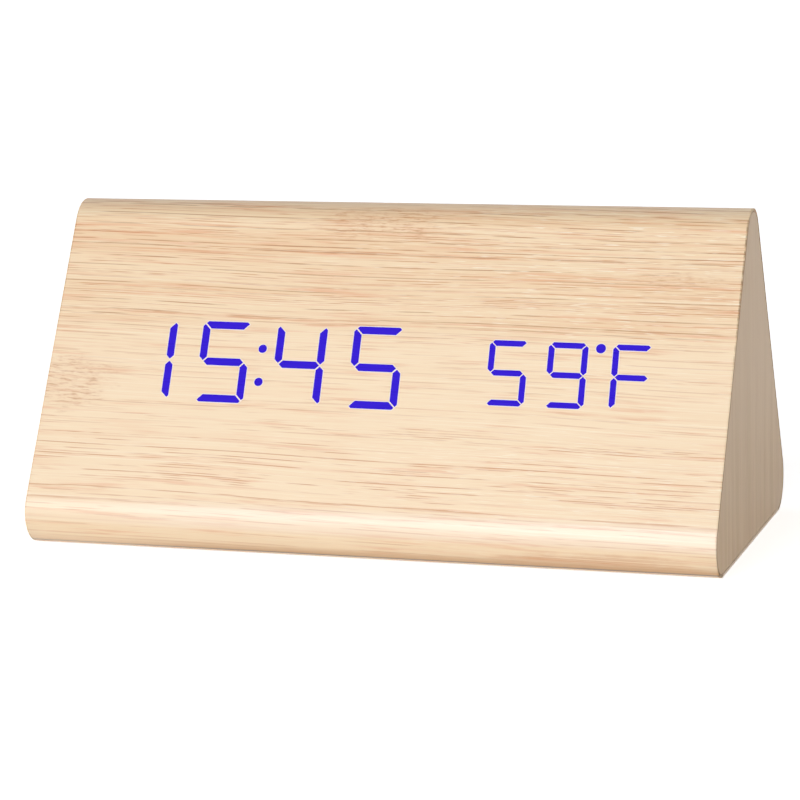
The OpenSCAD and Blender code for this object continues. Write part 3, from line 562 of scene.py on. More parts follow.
@dataclass(frozen=True)
class PaintedEdgeLighting:
    """A band of painted light and shade round the turn of the lower edges: where it starts and stops, and
    how it grows to the right.

    Start and stop are steps up the slope from its foot, negative round the turn, and rightward is a step
    along the case, in millimetres.
    """

    colour: Colour
    start: Step
    rightward: Step
    left: float
    gain: float
    stop: Step | None = None

    def laid(self, colour: Tint, bend: Signal, along: Signal) -> Tint:
        """Lay this painted band of light and shade over a colour.

        Args:
            colour: The colour.
            bend: Distance up the slope from its foot, which is negative in the turn.
            along: Distance along the case.

        Returns:
            The colour with the painted band laid over it.
        """
        share = bend.ramp(*self.start)
        if self.stop:
            share = share * bend.ramp(*self.stop)
        return colour.blend(self.colour, share * (self.left + along.ramp(*self.rightward) * self.gain))


@dataclass(frozen=True)
class Seam:
    """Scorched line at the ends of the wrap, broken by wear.

    The line and the cut are steps in from the end, and the crown and the height are steps down from the
    top line, in millimetres.
    """

    colour: Colour = (0.150, 0.068, 0.010)
    worn: Layer = Layer(2.2, 1.0, 97.0, 3.0, 0.6)
    worn_step: Step = (0.34, 0.60)
    height: Step = (46.0, 22.0)
    low: float = 0.08
    gain: float = 0.62
    left: float = 0.35
    sides: Step = (-1.0, 1.0)
    line: Step = (0.34, 0.20)
    cut: Step = (0.02, 0.01)
    cut_share: float = 0.48
    crown: Step = (3.5, 8.0)

    def laid(
        self, graph: Graph, colour: Tint, along: Signal, across: Signal, start: float
    ) -> tuple[Tint, Signal]:
        """Scorch the ends of the wrap.

        Args:
            graph: The graph that the line is added to.
            colour: The colour under it.
            along: Distance along the case.
            across: Distance up the front and down the back.
            start: The veneer's own seed.

        Returns:
            The scorched colour, and how far a place belongs to the line.
        """
        end = CASE.length / 2
        from_top = abs(across - CASE.apex)
        line = abs(along).ramp(*(end - reach for reach in self.line))
        cut = abs(along).ramp(*(end - reach for reach in self.cut))
        worn = self.worn.drawn(graph, across, along.sign(), start).ramp(*self.worn_step)
        scorched = worn * (self.low + from_top.ramp(*self.height) * self.gain)
        charred = line * scorched * along.ramp(*self.sides).lifted(self.left)
        share = charred.at_least(cut * self.cut_share) * from_top.ramp(*self.crown)
        return colour.blend(self.colour, share), line


@dataclass(frozen=True)
class Veneer(Finish):
    """Pale satin wood with rose streaks, umber hairlines and pale flecks along its grain."""

    lay: Lay = Lay.WRAP
    # Colours of the wood and of its marks
    cream: Colour = (0.874, 0.682, 0.458)
    warm: Colour = (0.812, 0.600, 0.362)
    blush: Colour = (0.725, 0.350, 0.175)
    rose: Colour = (0.545, 0.222, 0.074)
    umber: Colour = (0.390, 0.178, 0.054)
    pale: Colour = (0.970, 0.890, 0.740)
    # Sheen of the surface
    gloss: float = 1.0
    rough: float = 0.395
    line_swing: float = 0.06
    rose_rough: float = 0.04
    seam_rough: float = 0.45
    relief: float = 0.007
    relief_step: Step = (0.3, 0.7)
    relief_line: float = 0.5
    relief_fleck: float = 0.2
    # Run of the grain
    seed: float = 3.0
    strength: float = 1.0
    drift: float = 0.018
    wander: Layer = Layer(95.0, 30.0, 0.0, 1.0)
    wander_reach: float = 3.0
    waver: Layer = Layer(40.0, 15.0, 7.0, 1.0)
    waver_reach: float = 9.0
    above_step: Step = (37.0, 45.0)
    below_step: Step = (23.0, 14.0)
    foot_step: Step = (-3.0, 5.0)
    foot_faint: float = 0.20
    end_step: Step = (42.0, 6.0)
    underside_step: Step = (-2.0, 2.0)
    # Broad bands and clusters
    band: Layer = Layer(120.0, 4.4, 11.0)
    flush_step: Step = (0.40, 0.66)
    cluster: Layer = Layer(24.0, 2.6, 47.0)
    cluster_step: Step = (0.47, 0.60)
    warm_flush: Spread = Spread(0.15, above=0.40)
    warm_above: float = 0.40
    haze_cluster: Spread = Spread(0.04, below=0.06)
    haze_flush: float = 0.14
    # Soft rosy streaks
    line: Layer = Layer(120.0, 0.22, 23.0, rough=0.6)
    hair_step: Step = (0.50, 0.66)
    hair_spread: Spread = Spread(0.30, 0.70, 0.15)
    hair_plain: float = 0.40
    hair_flush: float = 0.25
    hair_faint: float = 0.25
    hair_life: Step = (0.38, 0.62)
    life: Layer = Layer(22.0, 0.9, 37.0, rough=0.55)
    salmon_step: Step = (0.52, 0.66)
    salmon_plain: float = 0.25
    salmon_cluster: float = 0.45
    salmon_flush: float = 0.50
    salmon_depth: float = 0.60
    # Short dashes and long dark hairs
    fine: Hairs = Hairs(0.48, 0.14, 10.0, 83.0)
    dash_cluster: Spread = Spread(0.45, 0.45, 0.55)
    dash_above: float = 0.56
    dash_depth: float = 0.85
    coarse: Hairs = Hairs(1.25, 0.17, 15.0, 71.0)
    coarse_umber: Spread = Spread(0.10, above=0.75)
    coarse_rose: Spread = Spread(0.30, below=0.50)
    # Pale lines and flecks, which grow to the right
    fleck: Layer = Layer(5.5, 0.21, 41.0, 1.0)
    fleck_step: Step = (0.62, 0.70)
    fleck_spread: Spread = Spread(0.30, 0.60, 0.42)
    fleck_rightward: Step = (-40.0, 40.0)
    fleck_faint: float = 0.25
    pale_step: Step = (0.45, 0.30)
    pale_line: float = 0.45
    pale_depth: float = 0.70
    # Stained spots
    burls: tuple[Burl, ...] = ()
    ragged: Layer = Layer(7.0, 3.0, 61.0, 3.0)
    tick: Layer = Layer(3.0, 0.42, 53.0, rough=0.6)
    tick_step: Step = (0.45, 0.66)
    tick_plain: float = 0.12
    tick_gain: float = 0.7
    dark_tick_step: Step = (0.58, 0.74)
    dark_tick_depth: float = 0.7
    stain_step: Step = (0.42, 0.62)
    stain_plain: float = 0.22
    stain_gain: float = 0.38
    # Painted highlight, painted shade and a painted contact shadow round the lower edges, and the scorched
    # cut ends of the wrap
    turns: tuple[PaintedEdgeLighting, ...] = (
        # Painted highlight: a whitish band along the turn of the lower edges, fainter to the left
        PaintedEdgeLighting((0.900, 0.780, 0.750), (2.0, -0.5), (-70.0, -30.0), 0.08, 0.15, stop=(-5.4, -3.6)),
        # Painted shade: tan that darkens the lower part of the turn, stronger to the right
        PaintedEdgeLighting((0.520, 0.262, 0.065), (-7.2, -10.4), (-65.0, -25.0), 0.20, 0.60),
        # Painted contact shadow: a thin dark line where the lower edges meet the table
        PaintedEdgeLighting((0.040, 0.024, 0.010), (-9.9, -10.9), (-60.0, -20.0), 0.64, 0.30, stop=(-14.2, -13.4)),
    )
    seam: Seam = Seam()

    def directions(self, graph: Graph) -> tuple[Signal, Signal]:
        """Unroll the surface.

        Args:
            graph: The graph that reads the place.

        Returns:
            Distances along and across the grain, in millimetres.
        """
        x, y, z = graph.place()
        if self.lay is Lay.UNDERSIDE:
            return x, y
        if self.lay is Lay.END:
            return z, y
        c, s = CASE.grade
        to_centre = CASE.half - abs(y)
        lift = z - CASE.edge
        up = to_centre * c + lift * s
        out = lift * c - to_centre * s
        foot = up.at_most(0.0).turn(out) * CASE.edge
        crown = (up - CASE.run).at_least(0.0).turn(out) * CASE.edge
        from_foot = foot + up.at_least(0.0).at_most(CASE.run) + crown
        return x, CASE.apex + y.sign() * (CASE.apex - from_foot)

    def busyness(self, graph: Graph, along: Signal, across: Signal) -> tuple[Value, Value]:
        """Find how thickly the streaks lie.

        Args:
            graph: The graph that the belts' wavering is added to.
            along: Distance along the grain.
            across: Distance across it.

        Returns:
            The shares of the busy belts above and below the calm one, from 0 to 1 each.
        """
        waver = self.waver.drawn(graph, along, across, self.seed).swing(self.waver_reach)
        if self.lay is Lay.UNDERSIDE:
            return waver.ramp(*self.underside_step), 0.0
        if self.lay is Lay.END:
            return (along + waver).ramp(*self.end_step), 0.0
        above = (across + waver).ramp(*self.above_step)
        below = (across + waver).ramp(*self.below_step)
        return above, below * across.ramp(*self.foot_step).lifted(self.foot_faint)

    def grained(
        self, graph: Graph, along: Signal, lane: Signal, belts: tuple[Value, Value],
        line: Signal, fleck: Signal,
    ) -> tuple[Tint, Signal]:
        """Lay the grain from broad bands to fine flecks.

        Args:
            graph: The graph that it is added to.
            along: Distance along the grain.
            lane: Distance across it, with its wandering.
            belts: Shares of the busy belts above and below.
            line: The layer of fine lines.
            fleck: The layer of flecks.

        Returns:
            The colour, and the strength of the rosy hairlines.
        """
        band, life, cluster = (
            layer.drawn(graph, along, lane, self.seed) for layer in (self.band, self.life, self.cluster)
        )
        fine, coarse = (hairs.drawn(graph, along, lane, self.seed) for hairs in (self.fine, self.coarse))
        above, _ = belts
        flush, crowded = band.ramp(*self.flush_step), cluster.ramp(*self.cluster_step)
        hair = line.ramp(*self.hair_step) * life.ramp(*self.hair_life).lifted(self.hair_faint)
        rose = hair * (self.hair_plain + flush * self.hair_flush) * self.hair_spread.at(*belts)
        salmon = life.ramp(*self.salmon_step) * (
            self.salmon_plain + crowded * self.salmon_cluster + flush * above * self.salmon_flush
        )
        dashes = fine * (crowded * self.dash_cluster.at(*belts) + above * self.dash_above).at_most(1.0)
        rightward = along.ramp(*self.fleck_rightward).lifted(self.fleck_faint)
        flecks = fleck.ramp(*self.fleck_step) * self.fleck_spread.at(*belts) * rightward
        pale = line.ramp(*self.pale_step) * self.pale_line + flecks
        warmth = flush * self.warm_flush.at(*belts) + above * self.warm_above
        haze = crowded * self.haze_cluster.at(*belts) + flush * above * self.haze_flush
        colour = graph.tint(self.cream, self.warm, warmth).blend(self.blush, haze)
        for dye, share in (
            (self.blush, rose),
            (self.blush, salmon * self.salmon_depth),
            (self.rose, dashes * self.dash_depth),
            (self.umber, coarse * self.coarse_umber.at(*belts)),
            (self.rose, coarse * self.coarse_rose.at(*belts)),
            (self.pale, pale * self.pale_depth),
        ):
            colour = colour.blend(dye, share * self.strength)
        return colour, rose

    def stained(
        self, graph: Graph, colour: Tint, along: Signal, across: Signal, lane: Signal, line: Signal
    ) -> Tint:
        """Stain the veneer's spots.

        Args:
            graph: The graph that they are added to.
            colour: The colour under them.
            along: Distance along the grain.
            across: Distance across it.
            lane: The same with its wandering.
            line: The layer of fine lines.

        Returns:
            The stained colour.
        """
        tick, ragged = (layer.drawn(graph, along, lane, self.seed) for layer in (self.tick, self.ragged))
        mottle = stain = 0.0
        for burl in self.burls:
            cover = burl.cover(along, across, ragged)
            mottle = mottle + cover * burl.ticks
            stain = stain + cover * (1 - burl.ticks)
        light = mottle * (self.tick_plain + tick.ramp(*self.tick_step) * self.tick_gain)
        dark = mottle * tick.ramp(*self.dark_tick_step) * self.dark_tick_depth
        plain = stain * (self.stain_plain + line.ramp(*self.stain_step) * self.stain_gain)
        return colour.blend(self.rose, light).blend(self.umber, dark).blend(self.rose, plain)

    def paint(self, graph: Graph) -> None:
        """Lay the grain, the stained spots and, on the wrap, the painted highlight, shade and contact
        shadow round its lower edges and the scorched lines at its cut ends.

        Args:
            graph: The material's graph.
        """
        along, across = self.directions(graph)
        wander = self.wander.drawn(graph, along, across, self.seed).swing(self.wander_reach)
        lane = across + along * self.drift + wander
        line, fleck = (layer.drawn(graph, along, lane, self.seed) for layer in (self.line, self.fleck))
        belts = self.busyness(graph, along, across)
        colour, rose = self.grained(graph, along, lane, belts, line, fleck)
        rough = self.rough + line.swing(self.line_swing) + rose * self.rose_rough
        if self.burls:
            colour = self.stained(graph, colour, along, across, lane, line)
        if self.lay is Lay.WRAP:
            bend = CASE.apex - abs(across - CASE.apex)
            # Painted highlight, painted shade and a painted contact shadow round the lower edges
            for turn in self.turns:
                colour = turn.laid(colour, bend, along)
            colour, seam = self.seam.laid(graph, colour, along, across, self.seed)
            rough = rough + seam * self.seam_rough
        height = line.ramp(*self.relief_step) * self.relief_line + fleck * self.relief_fleck
        graph.surface(
            Base_Color=colour,
            Roughness=rough,
            Normal=graph.relief(height, self.relief),
            Specular_IOR_Level=self.gloss,
        )


@dataclass(frozen=True)
class Fibreboard(Finish):
    """Raw pressed board: short brown fibres and specks."""

    light: Colour = (0.50, 0.345, 0.205)
    dark: Colour = (0.27, 0.165, 0.085)
    lump: Grain = Grain((6.0, 6.0, 6.0), 3.0, share=0.3)
    fibre: Grain = Grain((0.9, 0.35, 0.35), 3.0, 0.65, (0.35, 0.7), 0.6)
    speck: Grain = Grain((0.3, 0.3, 0.3), 1.0, step=(0.6, 0.75), share=0.25)
    rough: float = 0.85
    speck_swing: float = 0.1
    relief: float = 0.06

    def paint(self, graph: Graph) -> None:
        """Mix fibres of several sizes.

        Args:
            graph: The material's graph.
        """
        spot = graph.place()
        lumps, fibres, specks = (grain.over(graph, spot) for grain in (self.lump, self.fibre, self.speck))
        share = self.fibre.marks(fibres) + self.lump.marks(lumps) + self.speck.marks(specks)
        graph.surface(
            Base_Color=graph.tint(self.light, self.dark, share.at_most(1.0)),
            Roughness=self.rough + specks.swing(self.speck_swing),
            Normal=graph.relief(fibres, self.relief),
        )


@dataclass(frozen=True)
class Film(Finish):
    """A surface of the veneer film on the front slope, whose grain runs along X.

    The steepness is the weight of height against depth in the distance up the slope.
    """

    grain: Grain = Grain((14.0, 0.8, 1.0), step=(0.45, 0.75))
    seed: float = 5.0
    steepness: float = 2.0
    rough: float = 0.6
    grain_swing: float = 0.1

    def lines(self, graph: Graph) -> Signal:
        """The film's fine grain lines, around 0.5."""
        x, y, z = graph.place()
        return self.grain.over(graph, (x, y + z * self.steepness, self.seed))


@dataclass(frozen=True)
class Glow(Film):
    """Light that shines through the veneer film, with a trace of the film's grain."""

    lit: Colour = (0.040, 0.0165, 0.660)
    deep: Colour = (0.032, 0.0120, 0.585)
    skin: Colour = (0.004, 0.002, 0.020)

    def paint(self, graph: Graph) -> None:
        """Let fine grain lines dim the light a little."""
        lines = self.lines(graph)
        graph.surface(
            Base_Color=self.skin,
            Emission_Color=graph.tint(self.lit, self.deep, self.grain.marks(lines)),
            Emission_Strength=1.0,
            Roughness=self.rough + lines.swing(self.grain_swing),
            Specular_IOR_Level=0.0,
        )


@dataclass(frozen=True)
class Halo(Film):
    """Pale rim where a bar's light spills into the film."""

    grain: Grain = Grain((5.0, 0.5, 1.0), step=(0.4, 0.7))
    seed: float = 9.0
    rough: float = 0.45
    near: Colour = (0.92, 0.80, 0.70)
    far: Colour = (0.89, 0.74, 0.58)
    spill: Colour = (0.03, 0.03, 0.10)
    spill_level: float = 0.5

    def paint(self, graph: Graph) -> None:
        """Break the rim up with the film's grain."""
        lines = self.lines(graph)
        graph.surface(
            Base_Color=graph.tint(self.near, self.far, self.grain.marks(lines)),
            Emission_Color=self.spill,
            Emission_Strength=self.spill_level,
            Roughness=self.rough + lines.swing(self.grain_swing),
        )


class Sheen(Enum):
    """How a moulded surface shines: its roughness and the depth of its grain in millimetres."""

    MATT = (0.62, 0.03)
    SATIN = (0.42, 0.018)
    GLOSSY = (0.16, 0.003)


@dataclass(frozen=True)
class Moulded(Finish):
    """Moulded plastic or rubber: fine spark grain, flow marks and softened edges."""

    colour: Colour = (0.03, 0.03, 0.033)
    sheen: Sheen = Sheen.MATT
    mottle: float = 0.18
    edge: float = 0.22
    spark: Grain = Grain((0.28, 0.28, 0.28), 2.0, 0.6, (0.3, 0.7), 0.4)
    spark_swing: float = 0.08
    flow: Grain = Grain((18.0, 12.0, 12.0), share=0.6)
    flow_swing: float = 0.12
    lift: float = 0.004

    def paint(self, graph: Graph) -> None:
        """Vary the colour a little, grain the surface and round the edges.

        Args:
            graph: The material's graph.
        """
        rough, depth = self.sheen.value
        spot = graph.place()
        spark, flow = (grain.over(graph, spot) for grain in (self.spark, self.flow))
        lighter = tuple(min(1.0, c * (1 + self.mottle) + self.lift) for c in self.colour)
        darker = tuple(c * (1 - self.mottle) for c in self.colour)
        graph.surface(
            Base_Color=graph.tint(darker, lighter, self.flow.marks(flow) + self.spark.marks(spark)),
            Roughness=rough + flow.swing(self.flow_swing) + spark.swing(self.spark_swing),
            Normal=graph.relief(spark, depth, graph.soft_edge(self.edge)),
        )


@dataclass(frozen=True)
class Plated(Finish):
    """Plated metal: fine drawing marks, faint clouding and softened edges."""

    colour: Colour = (0.62, 0.61, 0.58)
    rough: float = 0.3
    cloud: Colour = (0.46, 0.44, 0.40)
    clouding: Grain = Grain((2.4, 2.4, 2.4), 3.0, step=(0.45, 0.75), share=0.7)
    cloud_swing: float = 0.2
    drawing: Grain = Grain((0.12, 0.12, 2.5))
    drawing_swing: float = 0.12
    relief: float = 0.006
    edge: float = 0.1

    def paint(self, graph: Graph) -> None:
        """Cloud the plating and mark it lightly.

        Args:
            graph: The material's graph.
        """
        spot = graph.place()
        clouds, marks = (grain.over(graph, spot) for grain in (self.clouding, self.drawing))
        graph.surface(
            Base_Color=graph.tint(self.colour, self.cloud, self.clouding.marks(clouds)),
            Metallic=1.0,
            Roughness=self.rough + clouds.swing(self.cloud_swing) + marks.swing(self.drawing_swing),
            Normal=graph.relief(marks, self.relief, graph.soft_edge(self.edge)),
        )


@dataclass(frozen=True)
class Circuit(Finish):
    """Circuit board: solder mask over copper tracks, with specks of its woven fibre.

    Each block of a grid draws a lot, which leaves it bare or gives it tracks across or upright.
    """

    mask: Colour = (0.012, 0.135, 0.050)
    copper: Colour = (0.030, 0.230, 0.085)
    fibre: Colour = (0.36, 0.40, 0.20)
    tilt: float = 1.0
    block: float = 7.0
    pitch: float = 1.27
    track: Step = (0.22, 0.18)
    lot_seed: float = 2.0
    across_from: Step = (0.30, 0.31)
    across_until: Step = (0.62, 0.61)
    upright_from: Step = (0.61, 0.62)
    weave: Grain = Grain((0.4, 0.4, 1.0), 1.0, step=(0.78, 0.95), share=0.4)
    weave_seed: float = 4.0
    weave_depth: float = 0.1
    rough: float = 0.32
    relief: float = 0.03

    def paint(self, graph: Graph) -> None:
        """Run tracks one way or the other in each block of the grid.

        Args:
            graph: The material's graph.
        """
        x, y, z = graph.place()
        c, s = CASE.grade
        up = y * (c * self.tilt) + z * s
        lot = graph.chance((x / self.block).whole(), (up / self.block).whole(), self.lot_seed)
        across, upright = (abs((way / self.pitch).part() - MIDDLE).ramp(*self.track) for way in (x, up))
        has_across = lot.ramp(*self.across_from) * lot.ramp(*self.across_until)
        tracks = across * has_across + upright * lot.ramp(*self.upright_from)
        weave = self.weave.over(graph, (x, up, self.weave_seed))
        colour = graph.tint(self.mask, self.copper, tracks)
        graph.surface(
            Base_Color=colour.blend(self.fibre, self.weave.marks(weave)),
            Roughness=self.rough + weave * self.weave_depth,
            Normal=graph.relief(tracks + weave * self.weave_depth, self.relief),
        )


@dataclass(frozen=True)
class Label(Finish):
    """Label of a dry cell: a dark body, a bright band at the nub end and bare metal at both ends."""

    body: Colour = (0.030, 0.052, 0.045)
    band: Colour = (0.62, 0.36, 0.13)
    bare: Colour = (0.70, 0.69, 0.66)
    half: float = 22.25
    row: float = 5.65
    shift: float = 2.15
    nub_bare: float = 1.65
    foot_bare: float = 0.85
    band_end: float = 13.05
    blur: float = 0.05
    row_blur: float = 0.01
    scuff: Grain = Grain((3.0, 0.6, 0.6), 3.0)
    scuff_shade: float = 0.2
    scuff_swing: float = 0.16
    rough: float = 0.30
    body_metal: float = 0.25
    band_metal: float = 0.55

    def paint(self, graph: Graph) -> None:
        """Place the bands from the nub end of each cell, which lie turn about.

        Args:
            graph: The material's graph.
        """
        x, y, z = graph.place()
        way = abs(y).ramp(self.row - self.row_blur, self.row + self.row_blur) * 2 - 1
        from_nub = self.half - (x * way - self.shift)
        foot = 2 * self.half - self.foot_bare
        metal = from_nub.ramp(self.nub_bare + self.blur, self.nub_bare - self.blur)
        metal = metal + from_nub.ramp(foot - self.blur, foot + self.blur)
        bright = from_nub.ramp(self.band_end + self.blur, self.band_end - self.blur)
        scuff = self.scuff.over(graph, (x, y, z))
        colour = graph.tint(self.body, self.band, bright).blend(self.bare, metal)
        graph.surface(
            Base_Color=colour.scaled(1.0 + scuff.swing(self.scuff_shade)),
            Metallic=(self.body_metal + bright * self.band_metal + metal).at_most(1.0),
            Roughness=self.rough + scuff.swing(self.scuff_swing),
        )


@dataclass(frozen=True)
class Chip(Finish):
    """Small lamp chip: a white body with yellowish resin in it."""

    body: Colour = (0.80, 0.80, 0.76)
    lens: Colour = (0.78, 0.66, 0.22)
    resin: Grain = Grain((0.5, 0.5, 0.5), step=(0.4, 0.6))
    rough: float = 0.2
    resin_rough: float = 0.2

    def paint(self, graph: Graph) -> None:
        """Mottle the resin."""
        resin = self.resin.over(graph, graph.place())
        graph.surface(
            Base_Color=graph.tint(self.body, self.lens, self.resin.marks(resin)),
            Roughness=self.rough + resin * self.resin_rough,
        )


@dataclass(frozen=True)
class Strands(Finish):
    """Flat cable: grey strands with one coloured edge strand."""

    grey: Colour = (0.40, 0.41, 0.43)
    marked: Colour = (0.45, 0.03, 0.03)
    edge: Step = (4.78, 4.82)
    streak: Grain = Grain((0.3, 8.0, 8.0))
    streak_shade: float = 0.2
    streak_swing: float = 0.15
    rough: float = 0.42

    def paint(self, graph: Graph) -> None:
        """Colour the strand at the edge and streak the rest.

        Args:
            graph: The material's graph.
        """
        x, y, z = graph.place()
        streak = self.streak.over(graph, (x, y, z))
        colour = graph.tint(self.grey, self.marked, x.ramp(*self.edge))
        graph.surface(
            Base_Color=colour.scaled(1.0 + streak.swing(self.streak_shade)),
            Roughness=self.rough + streak.swing(self.streak_swing),
        )


def add_object(name: str, data: bpy.types.ID) -> bpy.types.Object:
    """Put an object into the scene.

    Args:
        name: Its name.
        data: Its mesh, camera or lamp.

    Returns:
        The object.
    """
    made = bpy.data.objects.new(name, data)
    bpy.context.scene.collection.objects.link(made)
    return made


class Sculpt:
    """Plain mesh shapes that several pieces need, as points in metres and faces."""

    SHARP_ANGLE = math.radians(40)
    LEAST_MITRE = 0.4

    @classmethod
    def piece(
        cls, name: str, shape: Shape, finish: Finish, body: str, slot: str, smooth: bool = False
    ) -> bpy.types.Object:
        """Make a piece that rides on a body.

        Args:
            name: The piece's name.
            shape: Its points in metres and its faces.
            finish: The finish that it wears.
            body: The body that it rides on.
            slot: The record's slot that its finish comes from; not used.
            smooth: True if its faces are shaded as one round surface.

        Returns:
            The piece.
        """
        mesh = bpy.data.meshes.new(name)
        mesh.from_pydata([tuple(p) for p in shape[0]], [], shape[1])
        mesh.validate()
        if smooth:
            mesh.shade_smooth()
            mesh.set_sharp_from_angle(angle=cls.SHARP_ANGLE)
        mesh.materials.append(finish.material())
        made = add_object(name, mesh)
        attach(made, body)
        log.info("piece %s on %s", name, body)
        return made

    @staticmethod
    def merge(shapes: Iterable[Shape]) -> Shape:
        """Join several shapes into one.

        Args:
            shapes: The shapes.

        Returns:
            All their points and faces.
        """
        points, faces = [], []
        for more_points, more_faces in shapes:
            start = len(points)
            points.extend(more_points)
            faces.extend([tuple(i + start for i in face) for face in more_faces])
        return points, faces

    @staticmethod
    def band(low: int, high: int, count: int) -> list[tuple[int, ...]]:
        """Faces between two loops of as many points, which start at two places of the list."""
        return [(low + i, low + (i + 1) % count, high + (i + 1) % count, high + i) for i in range(count)]

    @classmethod
    def slab(cls, lower: Sequence[Vector], upper: Sequence[Vector]) -> Shape:
        """Close a plate between two outlines of as many points.

        Args:
            lower: The lower outline, which turns left seen from above.
            upper: The upper one.

        Returns:
            The plate's points and faces.
        """
        count = len(lower)
        caps = [tuple(reversed(range(count))), tuple(range(count, 2 * count))]
        return [*lower, *upper], [*caps, *cls.band(0, count, count)]

    @classmethod
    def frame_slab(cls, loops: Sequence[Sequence[Vector]]) -> Shape:
        """Sweep a closed ring through several loops and back to the first.

        Args:
            loops: The loops, which have as many points each.

        Returns:
            The ring's points and faces.
        """
        count, faces = len(loops[0]), []
        for level in range(len(loops)):
            faces += cls.band(level * count, (level + 1) % len(loops) * count, count)
        return [p for loop in loops for p in loop], faces

    @classmethod
    def sweep(cls, path: Sequence[Vector], outline: Sequence[Point]) -> Shape:
        """Carry an outline along a path.

        Args:
            path: The points that it follows, in metres.
            outline: Its section, in metres, whose first axis starts along X.

        Returns:
            The closed solid's points and faces.
        """
        points, side = [], X_AXIS
        for i, spot in enumerate(path):
            ahead = (path[min(i + 1, len(path) - 1)] - path[max(i - 1, 0)]).normalized()
            side = (side - ahead * side.dot(ahead)).normalized()
            other = ahead.cross(side)
            points += [spot + side * a + other * b for a, b in outline]
        count, faces = len(outline), []
        for i in range(len(path) - 1):
            faces += cls.band(i * count, (i + 1) * count, count)
        last = (len(path) - 1) * count
        faces += [tuple(reversed(range(count))), tuple(range(last, last + count))]
        return points, faces

    @staticmethod
    def ring(radius: float, sides: int) -> list[Point]:
        """Points of a circle."""
        turns = [2 * math.pi * i / sides for i in range(sides)]
        return [(radius * math.cos(turn), radius * math.sin(turn)) for turn in turns]

    @classmethod
    def wire(cls, path: Sequence[Vector], width: float, sides: int) -> Shape:
        """Round wire along a path in metres, with its width in millimetres."""
        return cls.sweep(path, [(a * MM, b * MM) for a, b in cls.ring(width / 2, sides)])

    @classmethod
    def grown(cls, outline: Sequence[Point], reach: float) -> list[Point]:
        """Move an outline outward, with square corners.

        Args:
            outline: A convex outline that turns left.
            reach: How far it moves.

        Returns:
            The moved outline.
        """
        grown = []
        for i, spot in enumerate(outline):
            here, before, after = (Vector(outline[k % len(outline)]) for k in (i, i - 1, i + 1))
            a, b = (here - before).normalized(), (after - here).normalized()
            out_a, out_b = Vector((a.y, -a.x)), Vector((b.y, -b.x))
            middle = (out_a + out_b).normalized()
            grown.append(tuple(Vector(spot) + middle * (reach / max(middle.dot(out_a), cls.LEAST_MITRE))))
        return grown


@dataclass
class Assembly:
    """A part of the clock: the pieces it makes and the finishes of its solids."""

    def build(self) -> None:
        """Make the pieces that the solids lack."""

    def finishes(self) -> dict[Finish, tuple[str, ...]]:
        """The solids that each finish dresses."""
        return {}

    def dress(self) -> None:
        """Give every solid of this part its finish."""
        for finish, nodes in self.finishes().items():
            for node in nodes:
                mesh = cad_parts[node].data
                mesh.materials.clear()
                mesh.materials.append(finish.material())
                log.info("solid %s wears %s", node, finish.name)


@dataclass
class Case(Assembly):
    """Boards of the case and the veneer on them."""

    burls: tuple[Burl, ...] = (
        Burl(-3.0, 65.5, 18.0, 5.0, 0.7),
        Burl(-71.0, 27.0, 13.0, 8.0, 0.7),
        Burl(50.0, -8.6, 26.0, 3.8, 0.9, ticks=0.1),
        Burl(62.0, 53.5, 12.0, 2.5, 0.45),
    )

    def finishes(self) -> dict[Finish, tuple[str, ...]]:
        """The solids that each finish dresses."""
        # The ends' colours are darker and deeper than the wrap's: partly painted shade of the ends, which
        # are lit less than the front
        ends = Veneer(
            "end_veneer", lay=Lay.END, cream=(0.750, 0.508, 0.286), warm=(0.600, 0.390, 0.158),
            blush=(0.68, 0.42, 0.21), pale=(0.78, 0.56, 0.35), seed=71.0, drift=0.03,
            strength=0.55, gloss=0.25,
        )
        return {
            Veneer("wrap_veneer", burls=self.burls): ("wood_wrap",),
            Veneer("underside_veneer", lay=Lay.UNDERSIDE, seed=29.0): ("bottom_veneer",),
            ends: ("left_end_veneer", "right_end_veneer"),
            Fibreboard("fibreboard"): (
                "front_board", "back_board", "bottom_board", "left_end_board", "right_end_board",
            ),
        }


@dataclass(frozen=True)
class DigitSize:
    """Width, height, bar width and gap between the bars of one kind of digit, in millimetres."""

    width: float
    height: float
    bar: float
    gap: float


class Flip(Enum):
    """How a bar is flipped across and up from its first place."""

    NONE = (1, 1)
    DOWN = (1, -1)
    LEFT = (-1, 1)
    BOTH = (-1, -1)


